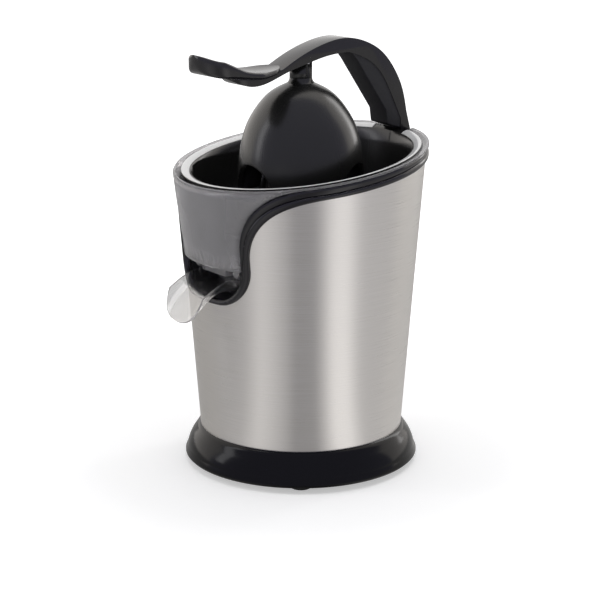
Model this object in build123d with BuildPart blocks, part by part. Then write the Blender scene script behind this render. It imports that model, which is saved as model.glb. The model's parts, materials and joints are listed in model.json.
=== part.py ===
"""Electric lever citrus press: a steel motor body, a driven reamer in a strainer and clear
collector with a flip spout, and a hinged lever that carries a pressing dome."""
import os
from math import atan, atan2, cos, degrees, pi, radians, sin

from build123d import *

# Shared clearances
overrun = 40.0           # how far cutters run past what they cut
fit_gap = 0.3            # between pieces that are set into each other
run_gap = 0.05           # radial play of pins, shafts and bushes
seat_gap = 0.02          # radial play of a pin that stays put in its hole

# Body: tapered steel shell on a flared base
shell_foot_radius = 70.8
shell_taper = 0.0765     # growth of radius per unit of height
shell_wall = 1.0
seam_height = 26.0       # where the steel meets the base
foot_height = 4.0
rim_height = 216.6       # rim plane on the axis
rim_slope = 0.1395       # the rim rises towards the rear
flange_overhang = 0.62   # flange of the collector past the trim

# Base
base_lip_out = 1.4       # past the toe
base_ledge = 0.8         # shoulder outside the steel
base_spigot_height = 8.0
base_spigot_wall = 3.0
base_crease_drop = 5.3
base_crease_out = 4.2
base_toe_height = 9.0
base_toe_out = 5.4       # past the crease
base_lip_height = 2.0
base_edge_chamfer = 1.0
base_bulge = 0.8         # of the skirt's side past a straight line
plate_thickness = 3.0
plate_inset = 4.8        # inside the base's lip
foot_radius = 7.5
foot_inset = 10.0        # from the plate's edge to a foot's middle
foot_angle = 54.0        # from the front
foot_edge = 1.0
post_circle = 50.0
post_angle = 70.0        # from the front
post_radius = 5.0
screw_head_radius = 3.2
screw_head_height = 2.0
screw_radius = 1.5
screw_length = 14.0
vent_count = 18
vent_circle = 28.0
vent_length = 16.0
vent_width = 3.0
gland_height = 16.6
gland_radius = 6.0
gland_bore = 3.4
gland_flange_radius = 8.5
gland_flange = 3.0
gland_inset = 4.4        # flat on the rear of the base, inside the toe

# Opening in the front of the steel, measured on the rim's own slope
band_height = 10.4       # black band under the rim
opening_half_width = 40.0
opening_depth = 80.5
opening_corner = 25.5
opening_flare = 38.4
trim_side = 5.8          # width of the trim beside the opening
trim_sill = 3.4          # width of the trim under the opening
trim_corner = 21.0
trim_flare = 40.0
trim_proud = 2.0
trim_depth = 2.2
bead_width = 5.0         # outer bead of the trim
bead_margin = 0.8        # of the sill that the bead leaves free
bead_step = 0.9          # how far the band above the bead lies back

# Collector
rim_funnel = 0.30        # fall of the rim's upper face towards the axis
flange_thickness = 1.6
flange_edge = 0.5
collector_depth = 66.6   # under the rim on the axis
collector_wall = 2.0
collector_gap = 3.3      # between the collector's foot and the steel's outer face
flange_width = 6.8       # from the collector's wall to the flange's edge
panel_foot_out = 1.0     # how far the front panel stands proud of the steel
panel_taper = 0.118
panel_gap = 0.5
collector_edge = 3.0
well_outer = 11.0        # tube round the drive shaft
well_wall = 1.8
well_height = 24.0
neck_half_width = 14.0
neck_front = -72.0
neck_back = -57.0
neck_drop = 7.0

# Strainer
strainer_gap = 4.2       # between the strainer and the collector's outer face
strainer_wall = 1.6
strainer_lift = 18.0     # over the collector's floor
strainer_corner = 20.0
strainer_taper = 4.0     # less radius at the floor than at the rim
strainer_lip_inset = 5.0  # inside the flange's edge
strainer_lip_thickness = 1.0
strainer_lip_edge = 0.4
strainer_eye = 13.0
slot_count = 40
slot_length = 15.0
slot_width = 1.6
slot_circle = 45.0

# Lever hinge, behind the rim
hinge_inset = 3.2        # the pin inside the flange's edge
hinge_drop = 5.63        # the pin under the rim plane
hinge_pin_radius = 2.0
knuckle_radius = 4.6
ear_thickness = 5.2
ear_radius = 4.5
ear_gap = 0.35
ear_depth = 12.0         # below the pivot, cut off at the steel's edge
hinge_notch_gap = 0.5
arm_half_width = 10.0

# Lever arm, measured from the pivot: towards the front and up
arm_reach = 150.8
arm_rise = 71.2
arm_edge = 1.6
web_half_width = 8.0
paddle_half_width = 19.0
paddle_root_half_width = 12.0
paddle_edge = 2.4
arm_top_shares = ((0.705, 0.760), (0.615, 0.847), (0.490, 0.938), (0.347, 0.992),
                  (0.263, 0.941), (0.162, 0.820), (0.091, 0.653), (0.035, 0.447), (0.003, 0.241))
arm_under_shares = ((0.345, 0.868), (0.209, 0.747), (0.146, 0.614), (0.103, 0.462), (0.034, 0.165))
arm_belly_shares = ((0.935, 0.640), (0.890, 0.619), (0.820, 0.628), (0.697, 0.714), (0.584, 0.785),
                    (0.438, 0.854))
seat_shares = ((0.958, 0.717), (0.815, 0.702), (0.705, 0.760))
tongue_share = (0.958, 0.690)
web_shares = ((0.293, 0.782), (0.121, 0.262), (0.116, 0.143), (0.081, 0.130))
paddle_top_shares = ((0.698, 0.788), (0.828, 0.759), (0.930, 0.779), (1.000, 0.826), (1.060, 0.880),
                     (1.105, 0.915))
paddle_tip_shares = ((1.132, 0.880), (1.122, 0.800), (1.085, 0.752))
paddle_corner_share = 0.94
paddle_plan_share = 0.35  # how far from the root the paddle reaches its full width

# Dome and stem on the axis
dome_pivot_rise = 63.6   # over the rim on the axis
dome_pin_radius = 1.5
dome_pin_half_length = 8.6
tenon_half_width = 4.0
tenon_radius = 3.0
tenon_gap = 0.8
stem_radius = 7.2
stem_tilt_gap = 1.2
spigot_radius = 4.0
spigot_length = 6.0
dome_wall = 3.0
dome_lift = 8.0          # over the foot of the reamer
dome_foot_radius = 43.6
dome_rise = 77.7         # from its foot to the seat of the stem
dome_side_shares = ((0.972, 0.206), (0.950, 0.360), (0.906, 0.489), (0.803, 0.644), (0.642, 0.781))
dome_crown_shares = ((0.427, 0.915), (0.195, 1.0))
arch_count = 3
arch_radius = 21.0
arch_rise = 25.0         # from the dome's foot to the top of an arch

# Reamer and drive shaft
reamer_lift = 12.0       # over the strainer's floor
reamer_radius = 29.0
reamer_rise = 58.0
reamer_skirt = 4.0
reamer_rib_count = 10
reamer_rib = 2.2
reamer_rib_half_width = 1.1
reamer_side_shares = ((0.93, 0.25), (0.74, 0.55), (0.42, 0.82))
shaft_radius = 4.0
shaft_reach = 34.0       # into the reamer
shaft_foot_z = 80.0
collar_radius = 7.2
collar_height = 2.0
press_travel = 2.5
shaft_flat_share = 0.82   # width over the drive flats, as a share of the shaft's diameter

# Gear deck inside the body
gear_plate_z = 84.0
gear_plate_thickness = 3.0
gear_plate_radius = 60.0
boss_height = 13.0
boss_radius = 8.5
boss_wall = 2.5
spring_height = 8.0
spring_radius = 6.0
spring_wire = 0.5
spring_turns = 4
first_module = 1.0
second_module = 1.25
pinion_teeth = 12
idler_teeth = 36
drive_teeth = 40
gear_face = 8.0
gear_float = 0.6
motor_y = 38.0
axle_radius = 2.5
tooth_addendum_share = 0.85
tooth_dedendum_share = 1.15
tooth_root_share = 0.62   # half widths of a tooth as shares of half its pitch angle
tooth_pitch_share = 0.42
tooth_tip_share = 0.20

# Motor, hung under the gear plate
motor_radius = 28.0
motor_wall = 2.5
motor_height = 46.0
motor_cap = 3.0
rotor_radius = 22.0
rotor_height = 24.0
rotor_drop = 9.0
motor_shaft_radius = 2.5
fan_blades = 7
fan_hub_radius = 6.0
fan_height = 6.0
fan_blade = 1.5
motor_screw_circle = 20.0
motor_screw_length = 5.0

# Switch under the drive shaft
switch_length = 20.0
switch_width = 8.0
switch_height = 11.0
plunger_radius = 2.0
plunger_length = 5.0
plunger_stop = 0.2
bracket_wall = 1.5

# Inner deck that carries the collector
deck_thickness = 3.0
deck_gap = 0.6
tower_radius = 8.4
tower_bore = 6.4
tower_height = 19.0
bush_height = 12.0
seal_height = 2.5
bay_half_width = 32.0
bay_back = -48.0
bay_depth = 28.0         # under the collector's floor
bay_wall = 2.0

# Spout, hung on two pins under the collector
spout_pivot_y = -67.0
spout_pivot_drop = 4.5   # under the collector's floor
spout_pin_radius = 1.6
spout_half_width = 21.0
spout_wall = 1.8
spout_ear = 3.2
spout_gap = 0.4
spout_lug = 3.6
spout_back = -55.0
spout_depth = 19.5       # under the collector's floor
spout_top_drop = 8.0     # under the collector's floor
spout_bend_y = -79.5
spout_tip_y = -101.0
spout_tip_drop = 17.1    # under the spout's floor
spout_mouth_y = -94.5
spout_mouth_drop = 10.0  # under the spout's upper edge
spout_brow_y = -78.0
spout_brow_drop = 1.5    # under the spout's upper edge
spout_corner = 11.0

# Worked out from the sizes above
base_toe_radius = shell_foot_radius + base_crease_out + base_toe_out
base_lip_radius = base_toe_radius + base_lip_out
plate_radius = base_lip_radius - plate_inset
foot_circle = plate_radius - foot_inset
gland_seat = base_toe_radius - gland_inset
collector_floor = rim_height - collector_depth
strainer_floor = collector_floor + strainer_lift
reamer_foot_z = strainer_floor + reamer_lift
shaft_top_z = reamer_foot_z + shaft_reach
dome_foot_z = reamer_foot_z + dome_lift
arch_top_z = dome_foot_z + arch_rise
dome_pivot_z = rim_height + dome_pivot_rise
bay_floor = collector_floor - bay_depth
spout_pivot_z = collector_floor - spout_pivot_drop
spout_floor = collector_floor - spout_depth
spout_top = collector_floor - spout_top_drop
spout_tip_z = spout_floor - spout_tip_drop
spout_mouth_z = spout_top - spout_mouth_drop
spout_brow_z = spout_top - spout_brow_drop
rim_radius = shell_foot_radius + shell_taper * (rim_height - seam_height) + trim_proud + flange_overhang
collector_foot_radius = shell_foot_radius + shell_taper * (collector_floor - seam_height) - collector_gap
collector_top_radius = rim_radius - flange_width
strainer_radius = collector_top_radius - strainer_gap
strainer_floor_radius = strainer_radius - strainer_taper
strainer_lip_radius = rim_radius - strainer_lip_inset
pivot_y = rim_radius - hinge_inset
pivot_z = rim_height + rim_slope * pivot_y - hinge_drop
rim_angle = degrees(atan(rim_slope))
tilt_sin, tilt_cos = sin(radians(rim_angle)), cos(radians(rim_angle))
rim_plane = Plane(origin=(0, 0, rim_height), x_dir=(1, 0, 0), z_dir=(0, -tilt_sin, tilt_cos))
front_plane = Plane(origin=(0, 0, rim_height), x_dir=(1, 0, 0), z_dir=(0, -tilt_cos, -tilt_sin))
bottom_plate_top = foot_height + plate_thickness
gear_plate_top = gear_plate_z + gear_plate_thickness
first_gear_z = gear_plate_top + gear_float
second_gear_z = gear_plate_top + boss_height + gear_float
first_distance = first_module * (pinion_teeth + idler_teeth) / 2
second_distance = second_module * (pinion_teeth + drive_teeth) / 2
idler_y = (second_distance**2 - first_distance**2 + motor_y**2) / (2 * motor_y)
idler_x = (second_distance**2 - idler_y**2) ** 0.5


def four_places(circle, angle):
    """Four points on a circle, mirrored left to right and front to rear."""
    across, along = circle * sin(radians(angle)), circle * cos(radians(angle))
    return [(sx * across, sy * along) for sx in (-1, 1) for sy in (-1, 1)]


def shell_radius(z):
    """Outer radius of the steel at a height."""
    return shell_foot_radius + shell_taper * (z - seam_height)


def arm_point(shares):
    """A point of the lever's side view, in the YZ plane, from its shares of reach and rise."""
    return (pivot_y - shares[0] * arm_reach, pivot_z + shares[1] * arm_rise)


def dome_point(shares):
    """A point of the dome's profile from its shares of radius and rise."""
    return (shares[0] * dome_foot_radius, dome_foot_z + shares[1] * dome_rise)


def turned(points):
    """A solid of revolution about Z from a closed outline of radius and height."""
    with BuildPart() as blank:
        with BuildSketch(Plane.XZ):
            with BuildLine():
                Polyline(*points, close=True)
            make_face()
        revolve(axis=Axis.Z)
    return blank.part


def cone_ring(inner, outer, low, high):
    """A tapered ring that follows the steel, between two offsets from its outer face."""
    return turned([(shell_radius(low) + inner, low), (shell_radius(low) + outer, low),
                   (shell_radius(high) + outer, high), (shell_radius(high) + inner, high)])


def front_opening(half_width, depth, corner, flare, level):
    """The U-shaped front opening with flared sides, run forwards along the rim's slope."""
    with BuildPart() as prism:
        with BuildSketch(front_plane):
            with BuildLine():
                floor = Line((0, -depth), (half_width - corner, -depth))
                bend = JernArc(floor @ 1, (1, 0), corner, 90)
                side = Line(bend @ 1, (half_width, -level - flare))
                JernArc(side @ 1, (0, 1), flare, -90)
                Polyline((half_width + flare, -level), (half_width + flare, overrun), (0, overrun),
                         (0, -depth))
            make_face()
            mirror(about=Plane.YZ)
        extrude(amount=rim_radius + overrun)
    return prism.part


def above_rim(drop):
    """Everything above a plane that lies a given drop under the rim."""
    with BuildPart() as block:
        with BuildSketch(rim_plane.offset(-drop)):
            Rectangle(4 * rim_radius, 4 * rim_radius)
        extrude(amount=rim_height)
    return block.part


def rim_turned(*places):
    """A solid turned about the rim's own axis, from radii and heights over the rim plane."""
    side = Plane(origin=rim_plane.origin, x_dir=rim_plane.x_dir,
                 z_dir=rim_plane.x_dir.cross(rim_plane.z_dir))
    with BuildPart() as turned:
        with BuildSketch(side):
            with BuildLine():
                Polyline(*places, close=True)
            make_face()
        revolve(axis=Axis(rim_plane.origin, rim_plane.z_dir))
    return turned.part


def funnel_fall(radius):
    """How far the rim's funnel has fallen at a radius."""
    return rim_funnel * (rim_radius - radius)


def above_funnel(drop):
    """Everything above a funnel that lies a given drop under the rim."""
    far = 2 * rim_radius
    return rim_turned((0, -drop - funnel_fall(0)), (far, -drop - funnel_fall(far)), (far, rim_height),
                      (0, rim_height))


def gear_teeth(module, teeth, face, phase):
    """A spur gear blank with straight-sided teeth; phase turns its first tooth from +X."""
    pitch = module * teeth / 2
    root, tip = pitch - tooth_dedendum_share * module, pitch + tooth_addendum_share * module
    half = pi / teeth
    corners = ((root, -tooth_root_share), (pitch, -tooth_pitch_share), (tip, -tooth_tip_share),
               (tip, tooth_tip_share), (pitch, tooth_pitch_share), (root, tooth_root_share))
    places = [(r, radians(phase) + (2 * i + s) * half) for i in range(teeth) for r, s in corners]
    outline = [(r * cos(a), r * sin(a)) for r, a in places]
    with BuildPart() as blank:
        with BuildSketch():
            with BuildLine():
                Polyline(*outline, close=True)
            make_face()
        extrude(amount=face)
    return blank.part


def save(piece, name):
    """Label a finished piece and write it to its own file."""
    piece.part.label = name
    export_step(piece.part, f"parts/{name}.step")


os.makedirs("parts", exist_ok=True)

post_places = four_places(post_circle, post_angle)
foot_places = [(0, 0), *four_places(foot_circle, foot_angle)]
steel_opening = front_opening(opening_half_width, opening_depth, opening_corner, opening_flare, band_height)
trim_opening = front_opening(opening_half_width - trim_side, opening_depth - trim_sill, trim_corner,
                             trim_flare, flange_thickness + fit_gap)
bead_opening = front_opening(opening_half_width - bead_width, opening_depth - trim_sill + bead_margin,
                             trim_corner, opening_flare + bead_width, band_height - bead_width)

# Base skirt: flared black ring with a ledge for the steel
base_bore = shell_radius(seam_height) - shell_wall - fit_gap
with BuildPart() as base_skirt:
    with BuildSketch(Plane.XZ):
        with BuildLine():
            ledge_radius = shell_foot_radius + base_ledge
            crease = (ledge_radius + base_crease_out - base_ledge, seam_height - base_crease_drop)
            Polyline((base_bore - base_spigot_wall, bottom_plate_top),
                     (base_bore - base_spigot_wall, seam_height + base_spigot_height),
                     (base_bore, seam_height + base_spigot_height), (base_bore, seam_height),
                     (ledge_radius, seam_height), crease)
            SagittaArc(crease, (base_toe_radius, base_toe_height), base_bulge)
            Polyline((base_toe_radius, base_toe_height),
                     (base_lip_radius, foot_height + base_lip_height),
                     (base_lip_radius, foot_height + base_edge_chamfer),
                     (base_lip_radius - base_edge_chamfer, foot_height),
                     (plate_radius + fit_gap, foot_height), (plate_radius + fit_gap, bottom_plate_top),
                     (base_bore - base_spigot_wall, bottom_plate_top))
        make_face()
    revolve(axis=Axis.Z)
    with BuildSketch(Plane.XZ.offset(-gland_seat)):
        with Locations((0, gland_height)):
            Circle(gland_flange_radius + fit_gap)
    extrude(amount=-overrun, mode=Mode.SUBTRACT)
    with BuildSketch(Plane.XZ):
        with Locations((0, gland_height)):
            Circle(gland_radius)
    extrude(amount=-gland_seat, mode=Mode.SUBTRACT)
save(base_skirt, "base_skirt")

# Bottom plate with posts for the gear plate, screw seats and vents
with BuildPart() as bottom_plate:
    with BuildSketch(Plane.XY.offset(foot_height)):
        Circle(plate_radius)
        with PolarLocations(vent_circle, vent_count):
            SlotOverall(vent_length, vent_width, mode=Mode.SUBTRACT)
    extrude(amount=plate_thickness)
    with BuildSketch(Plane.XY.offset(bottom_plate_top)):
        with Locations(*post_places):
            Circle(post_radius)
    extrude(amount=gear_plate_z - bottom_plate_top)
    with BuildSketch(Plane.XY.offset(foot_height)):
        with Locations(*post_places):
            Circle(screw_head_radius + fit_gap)
    extrude(amount=screw_head_height, mode=Mode.SUBTRACT)
    with BuildSketch(Plane.XY.offset(foot_height)):
        with Locations(*post_places):
            Circle(screw_radius + seat_gap)
    extrude(amount=screw_head_height + screw_length, mode=Mode.SUBTRACT)
save(bottom_plate, "bottom_plate")

with BuildPart() as rubber_feet:
    with BuildSketch():
        with Locations(*foot_places):
            Circle(foot_radius)
    extrude(amount=foot_height)
    fillet(rubber_feet.edges().group_by(Axis.Z)[0], foot_edge)
save(rubber_feet, "rubber_feet")

with BuildPart() as bottom_screws:
    head_z = foot_height + screw_head_height
    with BuildSketch(Plane.XY.offset(head_z)):
        with Locations(*post_places):
            Circle(screw_head_radius)
    extrude(amount=-screw_head_height + fit_gap)
    with BuildSketch(Plane.XY.offset(head_z)):
        with Locations(*post_places):
            Circle(screw_radius)
    extrude(amount=screw_length - fit_gap)
save(bottom_screws, "bottom_screws")

with BuildPart() as cord_gland:
    with BuildSketch(Plane.XZ.offset(-gland_seat)):
        with Locations((0, gland_height)):
            Circle(gland_flange_radius)
    extrude(amount=-gland_flange)
    fillet(cord_gland.edges().group_by(Axis.Y)[-1], foot_edge)
    with BuildSketch(Plane.XZ.offset(-gland_seat)):
        with Locations((0, gland_height)):
            Circle(gland_radius - run_gap)
    extrude(amount=gland_seat - base_bore + base_spigot_wall)
    with BuildSketch(Plane.XZ.offset(-gland_seat - gland_flange)):
        with Locations((0, gland_height)):
            Circle(gland_bore)
    extrude(amount=overrun, mode=Mode.SUBTRACT)
save(cord_gland, "cord_gland")

# Tapered steel shell with the flared front opening
with BuildPart() as steel_shell:
    add(cone_ring(-shell_wall, 0, seam_height, rim_height + overrun))
    add(above_rim(band_height), mode=Mode.SUBTRACT)
    add(steel_opening, mode=Mode.SUBTRACT)
save(steel_shell, "steel_shell")

# Black trim along the edge of the steel, with the two hinge ears at the rear
ear_inner = arm_half_width + ear_gap
ear_outer = ear_inner + ear_thickness
with BuildPart() as band_space:
    add(above_rim(band_height))
    add(steel_opening)
with BuildPart() as bead_ring:
    add(cone_ring(-trim_depth, trim_proud, seam_height + overrun, rim_height + overrun))
    add(above_rim(band_height - bead_width), mode=Mode.SUBTRACT)
    add(bead_opening, mode=Mode.SUBTRACT)
with BuildPart() as edge_trim:
    add(cone_ring(-trim_depth, trim_proud - bead_step, seam_height + overrun, rim_height + overrun))
    add(above_funnel(flange_thickness), mode=Mode.SUBTRACT)
    add(trim_opening, mode=Mode.SUBTRACT)
    add(bead_ring.part)
    with BuildSketch(Plane.YZ.offset(-ear_outer)):
        with Locations((pivot_y, pivot_z)):
            Circle(ear_radius)
        with Locations((pivot_y, pivot_z - ear_depth / 2)):
            Rectangle(2 * ear_radius, ear_depth)
    extrude(amount=2 * ear_outer)
    add(band_space.part, mode=Mode.INTERSECT)
    with BuildSketch(Plane.YZ.offset(-ear_inner)):
        with Locations((pivot_y, pivot_z)):
            Circle(knuckle_radius + ear_gap)
        with Locations((pivot_y, pivot_z + overrun / 2)):
            Rectangle(overrun, overrun)
    extrude(amount=2 * ear_inner, mode=Mode.SUBTRACT)
    with BuildSketch(Plane.YZ.offset(-ear_outer)):
        with Locations((pivot_y, pivot_z)):
            Circle(hinge_pin_radius + seat_gap)
    extrude(amount=2 * ear_outer, mode=Mode.SUBTRACT)
save(edge_trim, "edge_trim")

with BuildPart() as hinge_pin:
    with BuildSketch(Plane.YZ.offset(-ear_outer)):
        with Locations((pivot_y, pivot_z)):
            Circle(hinge_pin_radius)
    extrude(amount=2 * ear_outer)
save(hinge_pin, "hinge_pin")

# Inner deck: carries the collector on posts, with a cut-out over the spout's bay
deck_z = collector_floor - deck_thickness
bay_length = rim_radius + bay_back
inside_space = turned([(0, gear_plate_z), (shell_radius(gear_plate_z) - trim_depth - deck_gap, gear_plate_z),
                       (shell_radius(rim_height) - trim_depth - deck_gap, rim_height), (0, rim_height)])
with BuildPart() as inner_deck:
    with BuildSketch(Plane.XY.offset(deck_z)):
        Circle(rim_radius)
        Circle(tower_radius + seat_gap, mode=Mode.SUBTRACT)
        with Locations((0, bay_back - bay_length / 2)):
            Rectangle(2 * bay_half_width, bay_length, mode=Mode.SUBTRACT)
    extrude(amount=deck_thickness)
    add(inside_space, mode=Mode.INTERSECT)
    with BuildSketch(Plane.XY.offset(gear_plate_top)):
        with Locations(*post_places):
            Circle(post_radius)
    extrude(amount=deck_z - gear_plate_top)
save(inner_deck, "inner_deck")

# Bay under the deck that the spout swings in, open at the front
with BuildPart() as spout_bay:
    with BuildSketch(Plane.XY.offset(bay_floor - bay_wall)):
        with Locations((0, bay_back + bay_wall - bay_length / 2)):
            Rectangle(2 * (bay_half_width + bay_wall), bay_length)
    extrude(amount=deck_z - bay_floor + bay_wall)
    add(inside_space, mode=Mode.INTERSECT)
    with BuildSketch(Plane.XY.offset(bay_floor)):
        with Locations((0, bay_back - bay_length / 2)):
            Rectangle(2 * bay_half_width, bay_length)
    extrude(amount=deck_z - bay_floor, mode=Mode.SUBTRACT)
save(spout_bay, "spout_bay")

# Tower pressed into the deck, which keeps juice from the shaft
with BuildPart() as shaft_tower:
    with BuildSketch(Plane.XY.offset(deck_z)):
        Circle(tower_radius)
        Circle(tower_bore, mode=Mode.SUBTRACT)
    extrude(amount=deck_thickness + tower_height)
save(shaft_tower, "shaft_tower")

tower_top = collector_floor + tower_height
with BuildPart() as shaft_bush:
    with BuildSketch(Plane.XY.offset(tower_top - bush_height)):
        Circle(tower_bore - seat_gap)
        Circle(shaft_radius + run_gap, mode=Mode.SUBTRACT)
    extrude(amount=bush_height)
save(shaft_bush, "shaft_bush")

with BuildPart() as shaft_seal:
    with BuildSketch(Plane.XY.offset(tower_top)):
        Circle(tower_radius)
        Circle(shaft_radius + 2 * run_gap, mode=Mode.SUBTRACT)
    extrude(amount=seal_height)
save(shaft_seal, "shaft_seal")

# Gear plate with the boss that carries the drive gear
motor_screw_places = [(side * motor_screw_circle, motor_y) for side in (-1, 1)]
with BuildPart() as gear_plate:
    with BuildSketch(Plane.XY.offset(gear_plate_z)):
        Circle(gear_plate_radius)
    extrude(amount=gear_plate_thickness)
    with BuildSketch(Plane.XY.offset(gear_plate_top)):
        Circle(boss_radius + boss_wall)
        Circle(boss_radius, mode=Mode.SUBTRACT)
    extrude(amount=boss_height)
    with BuildSketch(Plane.XY.offset(gear_plate_z)):
        Circle(shaft_radius + fit_gap)
        with Locations((0, motor_y)):
            Circle(motor_shaft_radius + fit_gap)
        with Locations((idler_x, idler_y)):
            Circle(axle_radius + seat_gap)
        with Locations(*motor_screw_places):
            Circle(screw_radius + seat_gap)
    extrude(amount=gear_plate_thickness, mode=Mode.SUBTRACT)
save(gear_plate, "gear_plate")

# Motor: can, end cap and the turning rotor, shaft, fan and pinion
motor_z = gear_plate_z - motor_height
with BuildPart() as motor_can:
    with BuildSketch(Plane.XY.offset(motor_z)):
        with Locations((0, motor_y)):
            Circle(motor_radius)
    extrude(amount=motor_height)
    with BuildSketch(Plane.XY.offset(motor_z)):
        with Locations((0, motor_y)):
            Circle(motor_radius - motor_wall)
    extrude(amount=motor_height - motor_cap, mode=Mode.SUBTRACT)
    with BuildSketch(Plane.XY.offset(motor_z)):
        with Locations((0, motor_y)):
            Circle(motor_shaft_radius + run_gap)
        with Locations(*motor_screw_places):
            Circle(screw_radius + seat_gap)
    extrude(amount=motor_height, mode=Mode.SUBTRACT)
save(motor_can, "motor_can")

with BuildPart() as motor_end_cap:
    with BuildSketch(Plane.XY.offset(motor_z)):
        with Locations((0, motor_y)):
            Circle(motor_radius - motor_wall - seat_gap)
            Circle(motor_shaft_radius + run_gap, mode=Mode.SUBTRACT)
            with PolarLocations(motor_radius / 2, fan_blades):
                SlotOverall(vent_length, vent_width, mode=Mode.SUBTRACT)
    extrude(amount=motor_cap)
save(motor_end_cap, "motor_end_cap")

with BuildPart() as motor_screws:
    with BuildSketch(Plane.XY.offset(gear_plate_top)):
        with Locations(*motor_screw_places):
            Circle(screw_head_radius)
    extrude(amount=gear_float)
    with BuildSketch(Plane.XY.offset(gear_plate_top)):
        with Locations(*motor_screw_places):
            Circle(screw_radius)
    extrude(amount=-motor_screw_length)
save(motor_screws, "motor_screws")

rotor_z = gear_plate_z - motor_cap - rotor_drop - rotor_height
with BuildPart() as motor_shaft:
    with BuildSketch(Plane.XY.offset(motor_z)):
        with Locations((0, motor_y)):
            Circle(motor_shaft_radius)
    extrude(amount=first_gear_z + gear_face - motor_z)
save(motor_shaft, "motor_shaft")

with BuildPart() as motor_rotor:
    with BuildSketch(Plane.XY.offset(rotor_z)):
        with Locations((0, motor_y)):
            Circle(rotor_radius)
            Circle(motor_shaft_radius + seat_gap, mode=Mode.SUBTRACT)
    extrude(amount=rotor_height)
save(motor_rotor, "motor_rotor")

with BuildPart() as cooling_fan:
    with BuildSketch(Plane.XY.offset(rotor_z - fan_height)):
        with Locations((0, motor_y)):
            Circle(fan_hub_radius)
            with PolarLocations((rotor_radius + motor_shaft_radius) / 2, fan_blades):
                Rectangle(rotor_radius - motor_shaft_radius, fan_blade)
            Circle(motor_shaft_radius + seat_gap, mode=Mode.SUBTRACT)
    extrude(amount=fan_height)
save(cooling_fan, "cooling_fan")

# Gear train: pinion, two-step idler and drive gear, in mesh
to_idler = degrees(atan2(idler_y - motor_y, idler_x))
to_drive = degrees(atan2(-idler_y, -idler_x))
half_idler_pitch = 180 / idler_teeth
half_drive_pitch = 180 / drive_teeth
with BuildPart() as motor_pinion:
    with Locations((0, motor_y, first_gear_z)):
        add(gear_teeth(first_module, pinion_teeth, gear_face, to_idler))
    with BuildSketch(Plane.XY.offset(first_gear_z)):
        with Locations((0, motor_y)):
            Circle(motor_shaft_radius + seat_gap)
    extrude(amount=gear_face, mode=Mode.SUBTRACT)
save(motor_pinion, "motor_pinion")

with BuildPart() as idler_gear:
    with Locations((idler_x, idler_y, first_gear_z)):
        add(gear_teeth(first_module, idler_teeth, gear_face, to_idler + 180 + half_idler_pitch))
    with Locations((idler_x, idler_y, second_gear_z)):
        add(gear_teeth(second_module, pinion_teeth, gear_face, to_drive))
    with BuildSketch(Plane.XY.offset(first_gear_z)):
        with Locations((idler_x, idler_y)):
            Circle(axle_radius * 2)
    extrude(amount=second_gear_z - first_gear_z)
    with BuildSketch(Plane.XY.offset(first_gear_z)):
        with Locations((idler_x, idler_y)):
            Circle(axle_radius + run_gap)
    extrude(amount=second_gear_z + gear_face - first_gear_z, mode=Mode.SUBTRACT)
save(idler_gear, "idler_gear")

with BuildPart() as idler_axle:
    with BuildSketch(Plane.XY.offset(gear_plate_z)):
        with Locations((idler_x, idler_y)):
            Circle(axle_radius)
    extrude(amount=second_gear_z + gear_face + gear_float - gear_plate_z)
save(idler_axle, "idler_axle")

shaft_flat = shaft_radius * shaft_flat_share
collar_top = gear_plate_top + spring_height + collar_height
with BuildPart() as drive_gear:
    with Locations((0, 0, second_gear_z)):
        add(gear_teeth(second_module, drive_teeth, gear_face, to_drive + 180 + half_drive_pitch))
    with BuildSketch(Plane.XY.offset(second_gear_z)):
        Circle(boss_radius - run_gap)
    extrude(amount=collar_top + gear_float - second_gear_z)
    with BuildSketch(Plane.XY.offset(collar_top)):
        Circle(shaft_radius + run_gap)
        Rectangle(2 * rim_radius, 2 * (shaft_flat + run_gap), mode=Mode.INTERSECT)
    extrude(amount=overrun, mode=Mode.SUBTRACT)
save(drive_gear, "drive_gear")

# Drive shaft with flats through the gear, its collar and its return spring
flats_top = second_gear_z + gear_face + press_travel + gear_float
with BuildPart() as drive_shaft:
    with BuildSketch(Plane.XY.offset(shaft_foot_z)):
        Circle(shaft_radius)
        Rectangle(2 * rim_radius, 2 * shaft_flat, mode=Mode.INTERSECT)
    extrude(amount=flats_top - shaft_foot_z)
    with BuildSketch(Plane.XY.offset(flats_top)):
        Circle(shaft_radius)
    extrude(amount=shaft_top_z - flats_top)
    with BuildSketch(Plane.XY.offset(collar_top - collar_height)):
        Circle(collar_radius)
    extrude(amount=collar_height)
save(drive_shaft, "drive_shaft")

spring_low = gear_plate_top + spring_wire + seat_gap
spring_rise = spring_height - 2 * (spring_wire + seat_gap)
with BuildPart() as return_spring:
    with BuildLine():
        coil = Helix(pitch=spring_rise / spring_turns, height=spring_rise, radius=spring_radius,
                     center=(0, 0, spring_low))
    with BuildSketch(Plane(origin=coil @ 0, z_dir=coil % 0)):
        Circle(spring_wire)
    sweep(path=coil, is_frenet=True)
save(return_spring, "return_spring")

# Start switch under the shaft
switch_top = shaft_foot_z - plunger_stop - press_travel - 2 * plunger_stop
with BuildPart() as micro_switch:
    with BuildSketch(Plane.XY.offset(switch_top - switch_height)):
        Rectangle(switch_length, switch_width)
    extrude(amount=switch_height)
    with BuildSketch(Plane.XY.offset(switch_top)):
        Circle(plunger_radius + run_gap)
    extrude(amount=-plunger_length, mode=Mode.SUBTRACT)
save(micro_switch, "micro_switch")

with BuildPart() as switch_plunger:
    with BuildSketch(Plane.XY.offset(shaft_foot_z - plunger_stop)):
        Circle(plunger_radius)
    extrude(amount=-plunger_length)
save(switch_plunger, "switch_plunger")

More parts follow.
